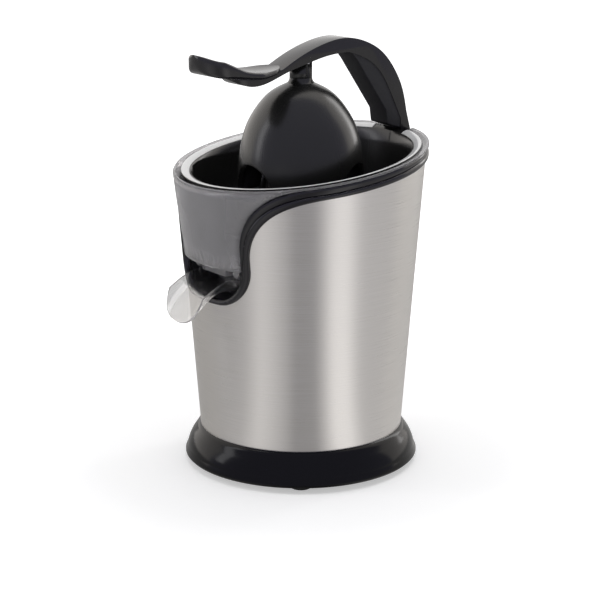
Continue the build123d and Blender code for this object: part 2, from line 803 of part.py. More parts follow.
with BuildPart() as switch_bracket:
    bracket_z = switch_top - switch_height - bracket_wall
    with BuildSketch(Plane.XY.offset(bracket_z)):
        Rectangle(switch_length + 2 * bracket_wall, switch_width)
    extrude(amount=gear_plate_z - bracket_z)
    with BuildSketch(Plane.XY.offset(bracket_z + bracket_wall)):
        Rectangle(switch_length, switch_width)
    extrude(amount=overrun, mode=Mode.SUBTRACT)
save(switch_bracket, "switch_bracket")

# Clear juice collector: a bowl with a proud front panel and a sloping flange
panel_shrink = trim_side + panel_gap
bowl_top = rim_height + rim_slope * rim_radius + collector_wall


def bowl(foot_radius, top_radius, floor, corner):
    """A solid bowl shape from its floor to above the rim, with a rounded lower corner."""
    with BuildPart() as solid:
        with BuildSketch(Plane.XZ):
            with BuildLine():
                side = FilletPolyline((0, floor), (foot_radius, floor), (top_radius, bowl_top),
                                      radius=corner)
                Polyline(side @ 1, (0, bowl_top), (0, floor))
            make_face()
        revolve(axis=Axis.Z)
    return solid.part


def front_panel(inset):
    """The solid behind the clear front panel, drawn in on all sides by an inset."""
    foot_radius = shell_radius(collector_floor) + panel_foot_out - inset
    with BuildPart() as solid:
        add(turned([(0, collector_floor + inset),
                    (foot_radius + panel_taper * inset, collector_floor + inset),
                    (foot_radius + panel_taper * (bowl_top - collector_floor), bowl_top), (0, bowl_top)]))
        add(front_opening(opening_half_width - panel_shrink - inset, opening_depth, trim_corner,
                          trim_flare + panel_gap + inset, flange_thickness + fit_gap - panel_gap - inset),
            mode=Mode.INTERSECT)
    return solid.part


def hinge_notch(front):
    """The space behind the bowl that the hinge ears and the foot of the lever need."""
    with BuildPart() as block:
        with BuildSketch(Plane.XY.offset(pivot_z - ear_radius - 2 * ear_gap - flange_thickness)):
            with Locations((0, front + overrun / 2)):
                Rectangle(2 * (ear_outer + hinge_notch_gap), overrun)
        extrude(amount=overrun)
    return block.part


def rim_ring(radius, drop, thickness, edge):
    """A ring that follows the rim's funnel, with a rounded outer edge."""
    inner = strainer_floor_radius
    low = drop + thickness
    with BuildPart() as ring:
        add(rim_turned((inner, -drop - funnel_fall(inner)), (radius, -drop - funnel_fall(radius)),
                       (radius, -low - funnel_fall(radius)), (inner, -low - funnel_fall(inner))))
        outer = ring.edges().filter_by(GeomType.CIRCLE).group_by(SortBy.RADIUS)[-1]
        fillet(outer, edge)
    return ring.part


lug_inner = spout_half_width + spout_gap
notch_front = strainer_radius + strainer_wall + hinge_notch_gap
collector_split = Plane.XY.offset(collector_floor + collector_wall)
with BuildPart() as juice_collector:
    add(bowl(collector_foot_radius, collector_top_radius, collector_floor, collector_edge))
    add(front_panel(0))
    add(above_funnel(flange_thickness), mode=Mode.SUBTRACT)
    add(rim_ring(rim_radius, 0, flange_thickness, flange_edge))
    add(bowl(collector_foot_radius - collector_wall, collector_top_radius - collector_wall,
             collector_floor + collector_wall, collector_edge), mode=Mode.SUBTRACT)
    add(front_panel(collector_wall), mode=Mode.SUBTRACT)
    add(hinge_notch(notch_front), mode=Mode.SUBTRACT)
    split(bisect_by=collector_split, keep=Keep.TOP)
save(juice_collector, "juice_collector")

# Floor of the collector with a tube round the drive shaft
neck_length = neck_back - neck_front
neck_place = (0, neck_front + neck_length / 2)
with BuildPart() as collector_base:
    add(bowl(collector_foot_radius, collector_top_radius, collector_floor, collector_edge))
    add(front_panel(0))
    split(bisect_by=collector_split, keep=Keep.BOTTOM)
    with BuildSketch(Plane.XY.offset(collector_floor)):
        Circle(well_outer)
    extrude(amount=well_height)
    with BuildSketch(Plane.XY.offset(collector_floor)):
        Circle(well_outer - well_wall)
    extrude(amount=well_height, mode=Mode.SUBTRACT)
    with BuildSketch(Plane.XY.offset(collector_floor)):
        with Locations(neck_place):
            Rectangle(2 * (neck_half_width - spout_wall), neck_length - 2 * spout_wall)
    extrude(amount=collector_wall, mode=Mode.SUBTRACT)
save(collector_base, "collector_base")

# Outlet under the collector's floor, with two lugs for the spout's pins
with BuildPart() as outlet_neck:
    with BuildSketch(Plane.XY.offset(collector_floor - neck_drop)):
        with Locations(neck_place):
            Rectangle(2 * neck_half_width, neck_length)
            Rectangle(2 * (neck_half_width - spout_wall), neck_length - 2 * spout_wall, mode=Mode.SUBTRACT)
    extrude(amount=neck_drop)
    with BuildSketch(Plane.YZ.offset(lug_inner)):
        with Locations((spout_pivot_y, spout_pivot_z)):
            Circle(spout_ear)
        with Locations((spout_pivot_y, (spout_pivot_z + collector_floor) / 2)):
            Rectangle(2 * spout_ear, collector_floor - spout_pivot_z)
        with Locations((spout_pivot_y, spout_pivot_z)):
            Circle(spout_pin_radius + seat_gap, mode=Mode.SUBTRACT)
    lug = extrude(amount=spout_lug)
    mirror(lug, about=Plane.YZ)
save(outlet_neck, "outlet_neck")

# Black strainer: a bowl with a rounded lip
strainer_split = Plane.XY.offset(strainer_floor + strainer_wall)
with BuildPart() as strainer:
    add(bowl(strainer_floor_radius + strainer_wall, strainer_radius + strainer_wall, strainer_floor,
             strainer_corner))
    add(above_funnel(-fit_gap), mode=Mode.SUBTRACT)
    add(rim_ring(strainer_lip_radius, -strainer_lip_thickness - fit_gap, strainer_lip_thickness,
                 strainer_lip_edge))
    add(bowl(strainer_floor_radius, strainer_radius, strainer_floor + strainer_wall,
             strainer_corner - strainer_wall), mode=Mode.SUBTRACT)
    add(hinge_notch(notch_front), mode=Mode.SUBTRACT)
    split(bisect_by=strainer_split, keep=Keep.TOP)
save(strainer, "strainer")

# Slotted floor of the strainer
with BuildPart() as strainer_sieve:
    add(bowl(strainer_floor_radius + strainer_wall, strainer_radius + strainer_wall, strainer_floor,
             strainer_corner))
    split(bisect_by=strainer_split, keep=Keep.BOTTOM)
    with BuildSketch(Plane.XY.offset(strainer_floor)):
        Circle(strainer_eye)
        with PolarLocations(slot_circle, slot_count):
            SlotOverall(slot_length, slot_width)
    extrude(amount=strainer_wall, mode=Mode.SUBTRACT)
save(strainer_sieve, "strainer_sieve")

# Flip spout: a trough with a bent floor, hung on two pins
def trough(inset):
    """A solid with the trough's rounded section, level at the rear and falling to the tip."""
    level = Plane(origin=(0, spout_back - inset, spout_floor + inset), x_dir=(1, 0, 0), z_dir=(0, -1, 0))
    fall = Plane(origin=(0, spout_bend_y, spout_floor + inset), x_dir=(1, 0, 0),
                 z_dir=(0, spout_tip_y - spout_bend_y, spout_tip_z - spout_floor))
    half_width = spout_half_width - inset
    with BuildPart() as solid:
        for start in (level, fall):
            with BuildSketch(start):
                with BuildLine():
                    section = FilletPolyline((-half_width, overrun), (-half_width, 0), (half_width, 0),
                                             (half_width, overrun), radius=spout_corner - inset)
                    Line(section @ 1, section @ 0)
                make_face()
            extrude(amount=spout_back - spout_tip_y + spout_corner)
    return solid.part


with BuildPart() as spout:
    add(trough(0))
    with BuildSketch(Plane.YZ):
        with BuildLine():
            Polyline((spout_back, spout_top), (spout_pivot_y, spout_top), (spout_brow_y, spout_brow_z),
                     (spout_mouth_y, spout_mouth_z), (spout_tip_y, spout_tip_z),
                     (spout_tip_y, spout_tip_z - overrun), (spout_back, spout_tip_z - overrun), close=True)
        make_face()
    extrude(amount=spout_half_width, both=True, mode=Mode.INTERSECT)
    add(trough(spout_wall), mode=Mode.SUBTRACT)
    with BuildSketch(Plane.YZ.offset(spout_half_width - spout_wall)):
        with Locations((spout_pivot_y, spout_pivot_z)):
            Circle(spout_ear)
        with Locations((spout_pivot_y, (spout_pivot_z + spout_floor + spout_corner) / 2)):
            Rectangle(2 * spout_ear, spout_pivot_z - spout_floor - spout_corner)
    ear = extrude(amount=spout_wall)
    mirror(ear, about=Plane.YZ)
    with BuildSketch(Plane.YZ.offset(-spout_half_width)):
        with Locations((spout_pivot_y, spout_pivot_z)):
            Circle(spout_pin_radius + run_gap)
    extrude(amount=2 * spout_half_width, mode=Mode.SUBTRACT)
save(spout, "spout")

with BuildPart() as spout_pins:
    with BuildSketch(Plane.YZ.offset(spout_half_width - spout_wall)):
        with Locations((spout_pivot_y, spout_pivot_z)):
            Circle(spout_pin_radius)
    pin = extrude(amount=spout_wall + spout_gap + spout_lug)
    mirror(pin, about=Plane.YZ)
save(spout_pins, "spout_pins")

# Reamer: a ribbed cone that sits on the drive shaft
reamer_tip_z = reamer_foot_z + reamer_rise


def reamer_outline(extra):
    """Points of the cone's side, from its skirt to its tip, moved out by an extra."""
    side = [(s * reamer_radius + extra, reamer_foot_z + t * reamer_rise) for s, t in reamer_side_shares]
    return [(reamer_radius + extra, reamer_foot_z + reamer_skirt), *side, (0, reamer_tip_z + extra)]


with BuildPart() as reamer_cone:
    with BuildSketch(Plane.XZ):
        with BuildLine():
            side = Spline(*reamer_outline(0))
            Polyline(side @ 1, (0, reamer_foot_z), (reamer_radius, reamer_foot_z), side @ 0)
        make_face()
    revolve(axis=Axis.Z)
    with BuildSketch(Plane.XZ) as rib_face:
        with BuildLine():
            crest = Spline(*reamer_outline(reamer_rib))
            Polyline(crest @ 1, (0, reamer_foot_z), (reamer_radius, reamer_foot_z), crest @ 0)
        make_face()
    rib = extrude(amount=reamer_rib_half_width, both=True, mode=Mode.PRIVATE)
    with PolarLocations(0, reamer_rib_count):
        add(rib)
    with BuildSketch(Plane.XY.offset(reamer_foot_z)):
        Circle(shaft_radius + seat_gap)
    extrude(amount=shaft_top_z + seat_gap - reamer_foot_z, mode=Mode.SUBTRACT)
save(reamer_cone, "reamer_cone")

# Pressing dome: a bell with three arches in its skirt
dome_top_z = dome_foot_z + dome_rise
with BuildPart() as press_dome:
    with BuildSketch(Plane.XZ):
        with BuildLine():
            flank = Spline((dome_foot_radius, dome_foot_z), *[dome_point(s) for s in dome_side_shares],
                           *[dome_point(s) for s in dome_crown_shares])
            Polyline(flank @ 1, (0, dome_top_z), (0, dome_foot_z), (dome_foot_radius, dome_foot_z))
        make_face()
    revolve(axis=Axis.Z)
    offset(amount=-dome_wall, openings=press_dome.faces().sort_by(Axis.Z)[0])
    with BuildSketch(Plane.XY.offset(dome_top_z - spigot_length - dome_wall)):
        Circle(spigot_radius + dome_wall)
    extrude(amount=spigot_length)
    with BuildSketch(Plane.XY.offset(dome_top_z)):
        Circle(spigot_radius + seat_gap)
    extrude(amount=-spigot_length, mode=Mode.SUBTRACT)
    for turn in range(arch_count):
        heading = radians(360 * turn / arch_count)
        arch_plane = Plane(origin=(0, 0, arch_top_z - arch_radius), x_dir=(cos(heading), sin(heading), 0),
                           z_dir=(sin(heading), -cos(heading), 0))
        with BuildSketch(arch_plane):
            Circle(arch_radius)
            with Locations((0, -overrun / 2)):
                Rectangle(2 * arch_radius, overrun)
        extrude(amount=rim_radius, mode=Mode.SUBTRACT)
save(press_dome, "press_dome")

# Stem between the dome and the lever, with the tenon that lets the dome tilt
belly_rise = (arm_belly_shares[-1][1] - arm_belly_shares[-3][1]) * arm_rise
belly_run = (arm_belly_shares[-3][0] - arm_belly_shares[-1][0]) * arm_reach
belly_y, belly_z = arm_point(arm_belly_shares[-2])
stem_top = Plane(origin=(0, belly_y, belly_z - stem_tilt_gap), x_dir=(1, 0, 0),
                 z_dir=(0, -belly_rise, belly_run))
with BuildPart() as dome_stem:
    with BuildSketch(Plane.XY.offset(dome_top_z)):
        Circle(stem_radius)
    extrude(amount=overrun)
    split(bisect_by=stem_top, keep=Keep.BOTTOM)
    with BuildSketch(Plane.XY.offset(dome_top_z)):
        Circle(spigot_radius)
    extrude(amount=-spigot_length + fit_gap)
    with BuildSketch(Plane.YZ):
        with Locations((0, dome_pivot_z)):
            Circle(tenon_radius)
        with Locations((0, (dome_pivot_z + dome_top_z) / 2)):
            Rectangle(2 * tenon_radius, dome_pivot_z - dome_top_z)
    extrude(amount=tenon_half_width, both=True)
    with BuildSketch(Plane.YZ):
        with Locations((0, dome_pivot_z)):
            Circle(dome_pin_radius + run_gap)
    extrude(amount=stem_radius, both=True, mode=Mode.SUBTRACT)
save(dome_stem, "dome_stem")

with BuildPart() as dome_pin:
    with BuildSketch(Plane.YZ):
        with Locations((0, dome_pivot_z)):
            Circle(dome_pin_radius)
    extrude(amount=dome_pin_half_length, both=True)
save(dome_pin, "dome_pin")

# Lever arm: a curved strip from the hinge over the bowl to the tongue under the grip
with BuildPart() as lever_arm:
    with BuildSketch(Plane.YZ):
        with BuildLine():
            back = Spline(*[arm_point(s) for s in arm_top_shares])
            heel, toe = (pivot_y + knuckle_radius, pivot_z), (pivot_y - knuckle_radius, pivot_z)
            Line(back @ 1, heel)
            ThreePointArc(heel, (pivot_y, pivot_z - knuckle_radius), toe)
            hollow = Spline(*[arm_point(s) for s in arm_under_shares])
            Line(toe, hollow @ 1)
            belly = Spline(arm_point(arm_under_shares[0]),
                           *[arm_point(s) for s in reversed(arm_belly_shares)])
            Polyline(belly @ 1, arm_point(tongue_share), *[arm_point(s) for s in seat_shares])
        make_face()
    extrude(amount=arm_half_width, both=True)
    fillet(lever_arm.edges().filter_by(GeomType.BSPLINE).sort_by(SortBy.LENGTH)[-2:], arm_edge)
    with BuildSketch(Plane.YZ):
        with Locations((pivot_y, pivot_z)):
            Circle(hinge_pin_radius + run_gap)
    extrude(amount=arm_half_width, both=True, mode=Mode.SUBTRACT)
    slot_top = dome_pivot_z + tenon_radius + tenon_gap
    with BuildSketch(Plane.YZ):
        with Locations((0, slot_top - overrun / 2)):
            Rectangle(2 * (tenon_radius + tenon_gap), overrun)
    extrude(amount=tenon_half_width + fit_gap, both=True, mode=Mode.SUBTRACT)
    with BuildSketch(Plane.YZ):
        with Locations((0, dome_pivot_z)):
            Circle(dome_pin_radius + seat_gap)
    extrude(amount=dome_pin_half_length, both=True, mode=Mode.SUBTRACT)
save(lever_arm, "lever_arm")

with BuildPart() as arm_web:
    with BuildSketch(Plane.YZ):
        with BuildLine():
            hollow = Spline(*[arm_point(s) for s in arm_under_shares])
            Polyline(hollow @ 0, *[arm_point(s) for s in web_shares], hollow @ 1)
        make_face()
    extrude(amount=web_half_width, both=True)
save(arm_web, "arm_web")

# Grip paddle on the tongue of the arm
with BuildPart() as grip_paddle:
    with BuildSketch(Plane.YZ):
        with BuildLine():
            crown = Spline(*[arm_point(s) for s in paddle_top_shares])
            Polyline(crown @ 1, *[arm_point(s) for s in paddle_tip_shares],
                     *[arm_point(s) for s in seat_shares], crown @ 0)
        make_face()
    extrude(amount=paddle_half_width, both=True)
    root_y = arm_point(paddle_top_shares[0])[0]
    tip_y = arm_point(paddle_tip_shares[0])[0]
    full_y = root_y + paddle_plan_share * (tip_y - root_y)
    with BuildSketch(Plane.XY.offset(pivot_z)) as plan:
        with BuildLine():
            Polyline((0, tip_y), (paddle_half_width, tip_y), (paddle_half_width, full_y),
                     (paddle_root_half_width, root_y), (0, root_y), close=True)
        make_face()
        mirror(about=Plane.YZ)
        fillet(plan.vertices().group_by(Axis.Y)[0], paddle_half_width * paddle_corner_share)
        fillet(plan.vertices().group_by(Axis.Y)[-1], paddle_root_half_width * paddle_corner_share)
    extrude(amount=arm_rise + overrun, mode=Mode.INTERSECT)
    fillet(grip_paddle.faces().sort_by(Axis.Z)[-1].edges(), paddle_edge)
save(grip_paddle, "grip_paddle")
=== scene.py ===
"""Looks of an electric lever citrus press: brushed steel body, black trim, clear collector and lever."""

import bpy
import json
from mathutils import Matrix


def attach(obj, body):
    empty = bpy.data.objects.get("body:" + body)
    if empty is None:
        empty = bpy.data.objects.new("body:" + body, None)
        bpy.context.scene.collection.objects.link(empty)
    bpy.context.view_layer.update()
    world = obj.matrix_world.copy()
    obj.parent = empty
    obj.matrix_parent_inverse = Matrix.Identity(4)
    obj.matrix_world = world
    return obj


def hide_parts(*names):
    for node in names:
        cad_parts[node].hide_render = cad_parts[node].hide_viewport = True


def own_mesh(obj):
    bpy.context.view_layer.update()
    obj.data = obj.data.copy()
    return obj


bl_info = {
    "name": "Lever citrus press",
    "version": (1, 0, 0),
    "blender": (4, 5, 0),
    "location": "View3D > Sidebar > Press",
    "description": "Builds the visible pieces of a lever citrus press round its fixed frame",
    "category": "Object",
}

import json
from math import asin, atan, cos, pi, radians, sin, sqrt

import bmesh
import bpy
from bpy.props import FloatProperty, FloatVectorProperty, IntProperty, PointerProperty
from mathutils import Vector

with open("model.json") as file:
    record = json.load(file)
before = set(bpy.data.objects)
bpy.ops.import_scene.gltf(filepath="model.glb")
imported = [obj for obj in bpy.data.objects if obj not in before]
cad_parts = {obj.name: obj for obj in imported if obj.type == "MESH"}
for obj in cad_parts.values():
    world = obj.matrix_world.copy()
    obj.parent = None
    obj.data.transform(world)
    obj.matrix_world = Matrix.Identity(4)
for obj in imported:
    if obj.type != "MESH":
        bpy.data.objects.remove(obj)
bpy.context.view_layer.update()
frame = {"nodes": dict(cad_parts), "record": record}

CAMERA_SIDE = (0.7856, -0.5708, 0.2389)


def length(name, description, default):
    """A size that a user may change."""
    return FloatProperty(name=name, description=description, default=default, unit="LENGTH", precision=4)


def ratio(name, description, default, **more):
    """A plain number that a user may change."""
    return FloatProperty(name=name, description=description, default=default, **more)


def number(name, description, default):
    """A count that a user may change."""
    return IntProperty(name=name, description=description, default=default)


def colour(name, description, default):
    """A finish colour that a user may change."""
    return FloatVectorProperty(name=name, description=description, default=default, subtype="COLOR",
                               size=3, min=0.0, max=1.0)


class BodySizes(bpy.types.PropertyGroup):
    """Sizes of the steel body, its trim and its base."""
    foot_radius: length("Foot radius", "Steel's radius where it meets the base", 0.0708)
    seam_height: length("Seam height", "Where the steel meets the base", 0.026)
    taper: ratio("Taper", "Growth of radius per unit of height", 0.0765)
    wall: length("Steel wall", "Thickness of the steel", 0.001)
    rim_height: length("Rim height", "Rim plane on the axis", 0.2166)
    rim_slope: ratio("Rim slope", "Rise of the rim towards the rear", 0.1395)
    band_drop: length("Band drop", "Upper edge of the steel under the rim", 0.0104)
    half_width: length("Opening half width", "Half the width of the front opening", 0.040)
    depth: length("Opening depth", "Sill of the front opening under the rim", 0.0805)
    corner: length("Opening corner", "Radius of the opening's lower corners", 0.0255)
    flare: length("Opening flare", "Radius that leads the opening into the rim", 0.0384)
    trim_side: length("Trim side", "Width of the trim beside the opening", 0.0058)
    trim_sill: length("Trim sill", "Width of the trim under the opening", 0.0034)
    trim_corner: length("Trim corner", "Radius of the trim's lower corners", 0.021)
    trim_flare: length("Trim flare", "Radius of the trim's upper curve", 0.040)
    trim_top: length("Trim top", "Upper edge of the trim under the rim", 0.0021)
    trim_proud: length("Trim proud", "How far the trim stands out of the steel", 0.002)
    trim_depth: length("Trim depth", "How far the trim reaches behind the steel's face", 0.0022)
    bead: length("Bead width", "Width of the rounded outer bead of the trim", 0.0052)


class LeverSizes(bpy.types.PropertyGroup):
    """Sizes of the lever, its grip and the pressing dome."""
    pivot_y: length("Hinge place", "Hinge pin behind the axis", 0.0848)
    pivot_z: length("Hinge height", "Height of the hinge pin", 0.2228)
    reach: length("Reach", "From the hinge to the tongue's end", 0.1508)
    rise: length("Rise", "From the hinge to the top of the arm", 0.0712)
    half_width: length("Arm half width", "Half the width of the arm", 0.010)
    web_half_width: length("Web half width", "Half the width of the web under the arm", 0.0096)
    web_root: length("Web root", "How far the web reaches into the arm", 0.0024)
    knuckle: length("Knuckle radius", "Radius of the arm round its hinge pin", 0.0046)
    grip_half_width: length("Grip half width", "Half the width of the grip", 0.019)
    root_half_width: length("Grip root half width", "Half the width where the grip leaves the arm", 0.012)
    edge: length("Edge rounding", "Rounding of the arm's long edges", 0.0018)
    grip_edge: length("Grip edge", "Rounding of the grip's edges", 0.0026)
    grip_dish: length("Grip dish", "Depth of the dish in the grip", 0.0014)
    grip_crown: length("Grip crown", "Fall of the tip's top towards its sides", 0.006)
    tongue_round: length("Tongue rounding", "Length of the tongue's round end", 0.014)
    ear_gap: length("Ear gap", "Play between the arm and the hinge ears", 0.00035)
    ear_thickness: length("Ear thickness", "Thickness of a hinge ear", 0.0052)
    ear_radius: length("Ear radius", "Radius of a hinge ear", 0.0045)
    dome_radius: length("Dome radius", "Radius of the dome's lower edge", 0.0436)
    dome_foot: length("Dome foot", "Height of the dome's lower edge", 0.188)
    dome_rise: length("Dome rise", "From the dome's lower edge to its stem", 0.0777)
    dome_wall: length("Dome wall", "Thickness of the dome", 0.003)
    arch_radius: length("Arch radius", "Radius of the arches in the dome's skirt", 0.021)
    arch_top: length("Arch top", "Height of the top of the arches", 0.213)
    stem_radius: length("Stem radius", "Radius of the dome's stem", 0.0072)
    stem_swell: ratio("Stem swell", "Look of the stem against its solid", 1.07)
    arches: number("Arches", "Arches round the skirt", 3)


class SpoutSizes(bpy.types.PropertyGroup):
    """Sizes of the flip spout."""
    half_width: length("Half width", "Half the width of the spout", 0.021)
    wall: length("Wall", "Thickness of the spout", 0.0013)
    back: length("Back", "Rear end of the trough", -0.055)
    pivot_y: length("Pivot place", "Pins in front of the axis", -0.067)
    pivot_z: length("Pivot height", "Height of the pins", 0.1455)
    ear: length("Ear", "Radius of the ears round the pins", 0.0032)
    top: length("Top", "Upper edge at the rear", 0.142)
    floor: length("Floor", "Underside at the rear", 0.1305)
    brow_y: length("Brow place", "Where the upper edge starts to fall", -0.078)
    brow_z: length("Brow height", "Height of that place", 0.1405)
    mouth_y: length("Mouth place", "Front end of the upper edge", -0.0945)
    mouth_z: length("Mouth height", "Height of that end", 0.132)
    bend_y: length("Bend", "Where the floor starts to fall", -0.0795)
    tip_y: length("Tip place", "Front end of the floor", -0.101)
    tip_z: length("Tip height", "Height of that end", 0.1134)
    round: ratio("Roundness", "1 is a half-ellipse, less is squarer", 0.86)


class SmallSizes(bpy.types.PropertyGroup):
    """Sizes of what repeats: the strainer's ribs, the reamer's ribs and the feet."""
    wall_ribs: number("Wall ribs", "Ribs round the strainer's wall", 60)
    wall_radius: length("Wall radius", "Strainer's inner radius half-way up its wall", 0.0752)
    wall_foot: length("Wall foot", "Lower end of the wall's ribs", 0.186)
    wall_length: length("Wall rib length", "Height of the wall's ribs", 0.017)
    wall_width: length("Wall rib width", "Width of a wall rib", 0.0012)
    wall_proud: length("Wall rib depth", "Depth of a wall rib", 0.0012)
    wall_lean: ratio("Wall lean", "Lean of the wall", 0.083, subtype="ANGLE")
    # The pale rolled edge is a painted reflection: a pale ring that stands in for the bright room reflected
    # at a grazing angle in the strainer's glossy lip
    rim_inner: length("Rim inner", "Inner radius of the pale rolled edge", 0.0772)
    rim_outer: length("Rim outer", "Outer radius of the pale rolled edge", 0.0826)
    rim_level: length("Rim level", "Height of the rolled edge over the rim plane at its outside", -0.0004)
    rim_roll: length("Rim roll", "Half the thickness of the rolled edge", 0.0007)
    rim_fall: ratio("Rim fall", "Fall of the rim's face towards the axis", 0.30)
    rim_gap: length("Rim gap", "Half the gap in the rolled edge at the hinge", 0.0175)
    cone_foot: length("Cone foot", "Underside of the reamer", 0.180)
    cone_radius: length("Cone radius", "Radius of the cone's skirt", 0.029)
    cone_rise: length("Cone rise", "Height of the cone", 0.058)
    cone_ribs: number("Cone ribs", "Ribs round the cone", 10)
    cone_rib: length("Cone rib", "Half the width of a rib", 0.0022)
    cone_travel: length("Cone travel", "How far the cone can be pressed down", 0.0025)
    foot_radius: length("Foot radius", "Radius of a rubber foot", 0.0075)
    foot_height: length("Foot height", "Height of a rubber foot", 0.004)


class Finishes(bpy.types.PropertyGroup):
    """Colours of the finishes."""
    steel: colour("Steel", "Brushed stainless steel", (0.72, 0.70, 0.68))
    gloss_black: colour("Gloss black", "Glossy black plastic", (0.014, 0.0135, 0.021))
    lever_black: colour("Lever black", "Black plastic of the lever", (0.016, 0.015, 0.018))
    satin_black: colour("Satin black", "Satin black plastic of the web and inside", (0.018, 0.0175, 0.022))
    trim_black: colour("Trim black", "Black plastic of the trim", (0.006, 0.005, 0.010))
    base_black: colour("Base black", "Black plastic of the base", (0.002, 0.002, 0.0035))
    clear: colour("Clear", "Tint of the clear plastic", (0.99, 0.99, 0.99))
    smoke: colour("Smoke", "Tint of the collector's lightly smoked plastic", (0.80, 0.79, 0.81))
    # Edge: painted shade on the clear plastic's cut edges, a dark tint that stands in for the dark lines that
    # light shows along clear edges
    edge: colour("Edge", "Tint of the clear plastic's cut edges", (0.30, 0.30, 0.32))
    # Pale: painted reflection colour of the rolled edge, standing in for the bright room reflected in the
    # glossy lip
    pale: colour("Pale", "Pale rolled edge of the rim", (0.90, 0.90, 0.91))
    rubber: colour("Rubber", "Rubber of the feet and seals", (0.014, 0.014, 0.014))
    pin_steel: colour("Pin steel", "Ground steel of pins and shafts", (0.56, 0.56, 0.57))
    plate: colour("Plate", "Plated sheet inside", (0.48, 0.49, 0.50))
    motor: colour("Motor", "Painted motor can", (0.10, 0.105, 0.11))
    iron: colour("Iron", "Laminated rotor", (0.16, 0.14, 0.13))
    brass: colour("Brass", "Turned brass", (0.60, 0.43, 0.17))
    white: colour("White plastic", "Natural white gear plastic", (0.72, 0.70, 0.64))
    floor: colour("Floor", "Pale floor", (0.86, 0.86, 0.87))


class StageSizes(bpy.types.PropertyGroup):
    """Camera, floor and light."""
    target_z: length("Target height", "Height that the camera looks at", 0.140)
    distance: length("Camera distance", "From the target to the camera", 1.20)
    lens: ratio("Lens", "Focal length on a 36 mm sensor", 103.63)
    shift_x: ratio("Shift across", "Camera shift across", -0.0014)
    shift_y: ratio("Shift up", "Camera shift up", -0.0633)
    floor_size: length("Floor size", "Width of the floor", 8.0)
    floor_glow: ratio("Floor glow", "Light that the floor adds near the press", 0.44)
    far_glow: ratio("Far glow", "Light that the floor adds far away", 1.0)
    near_room: ratio("Near room", "Brightness behind the camera that gloss sees", 0.50)
    far_room: ratio("Far room", "Brightness behind the press that gloss sees", 1.40)
    window: ratio("Window", "Brightness of the wide window behind the press", 1.1)
    fill: ratio("Fill", "Soft light from all round", 0.32)


# Outline tables, as shares of the lever's reach and rise, of the dome's and reamer's radius and rise,
# and of the stem's radius
ARM_TOP_SHARES = ((0.705, 0.760), (0.615, 0.860), (0.490, 0.960), (0.347, 1.004), (0.252, 0.962),
                  (0.150, 0.846), (0.078, 0.674), (0.025, 0.455), (0.001, 0.241))
ARM_UNDER_SHARES = ((0.345, 0.868), (0.209, 0.747), (0.146, 0.614), (0.103, 0.462), (0.034, 0.165))
ARM_BELLY_SHARES = ((0.345, 0.868), (0.438, 0.854), (0.584, 0.785), (0.697, 0.714), (0.820, 0.628),
                    (0.885, 0.626), (0.940, 0.662))
TONGUE_SHARES = ((0.974, 0.702), (0.974, 0.717), (0.815, 0.702))
WEB_SHARES = ((0.022, 0.072), (0.062, 0.088), (0.112, 0.128), (0.121, 0.262), (0.293, 0.782))
WEB_HOLLOW = (0.42, 0.25)
GRIP_TOP_SHARES = ((0.698, 0.788), (0.828, 0.762), (0.930, 0.792), (1.000, 0.853), (1.060, 0.907),
                   (1.108, 0.943), (1.132, 0.948))
GRIP_UNDER_SHARES = ((0.705, 0.758), (0.815, 0.702), (0.958, 0.717), (1.020, 0.732), (1.085, 0.752),
                     (1.122, 0.800), (1.132, 0.874))
DOME_SHARES = ((1.0, 0.0), (0.990, 0.206), (0.970, 0.360), (0.930, 0.489), (0.842, 0.644), (0.700, 0.781),
               (0.480, 0.915), (0.195, 1.0))
FLARE_SHARES = ((1.36, -0.10), (1.22, 0.05), (1.12, 0.22), (1.06, 0.50))
REAMER_SHARES = ((1.0, 0.0), (1.0, 0.07), (0.93, 0.25), (0.74, 0.55), (0.42, 0.82), (0.12, 0.985), (0.0, 1.0))
REAMER_RIB_SHARES = (("Start", 0.97, 0.10), ("Middle", 0.92, 0.74), ("End", 0.06, 0.985))
# Across the trim's bead and band: shares of their width and of how far the trim stands out
BEAD_SHARES = ((0.0, 0.0), (0.02, 0.45), (0.10, 0.75), (0.25, 0.95), (0.5, 1.0), (0.75, 0.95), (0.90, 0.78),
               (0.98, 0.55))
BAND_SHARES = ((0.0, 0.30), (0.12, 0.52), (0.5, 0.55), (0.85, 0.50), (1.0, 0.2))
BEAD_LIMIT = 0.9
EAR_HEEL = 0.2
BEND_DROP = 0.0005
# Rounding of edges: hinge ears, web, dome, and the spout's as a share of its wall
EAR_EDGE, WEB_EDGE, DOME_EDGE, SPOUT_EDGE = 0.0007, 0.0012, 0.0006, 0.3
FOOT_TAPER = 0.92
ARCH_INSIDE = 0.9999
# The grip: length of its round tip, where it is full, its round root, and limits of its edge and crown
GRIP_NOSE, GRIP_FULL, GRIP_ROOT = 0.94, 0.35, 0.9
GRIP_THIN, GRIP_NARROW, GRIP_CROWN, GRIP_ENDS = 0.45, 0.9, 0.7, 0.9985
TONGUE_LEAST = 0.3
# The stem: the part that swells, and the inside of its flare
STEM_SKIN, FLARE_INSIDE = 0.8, 0.9

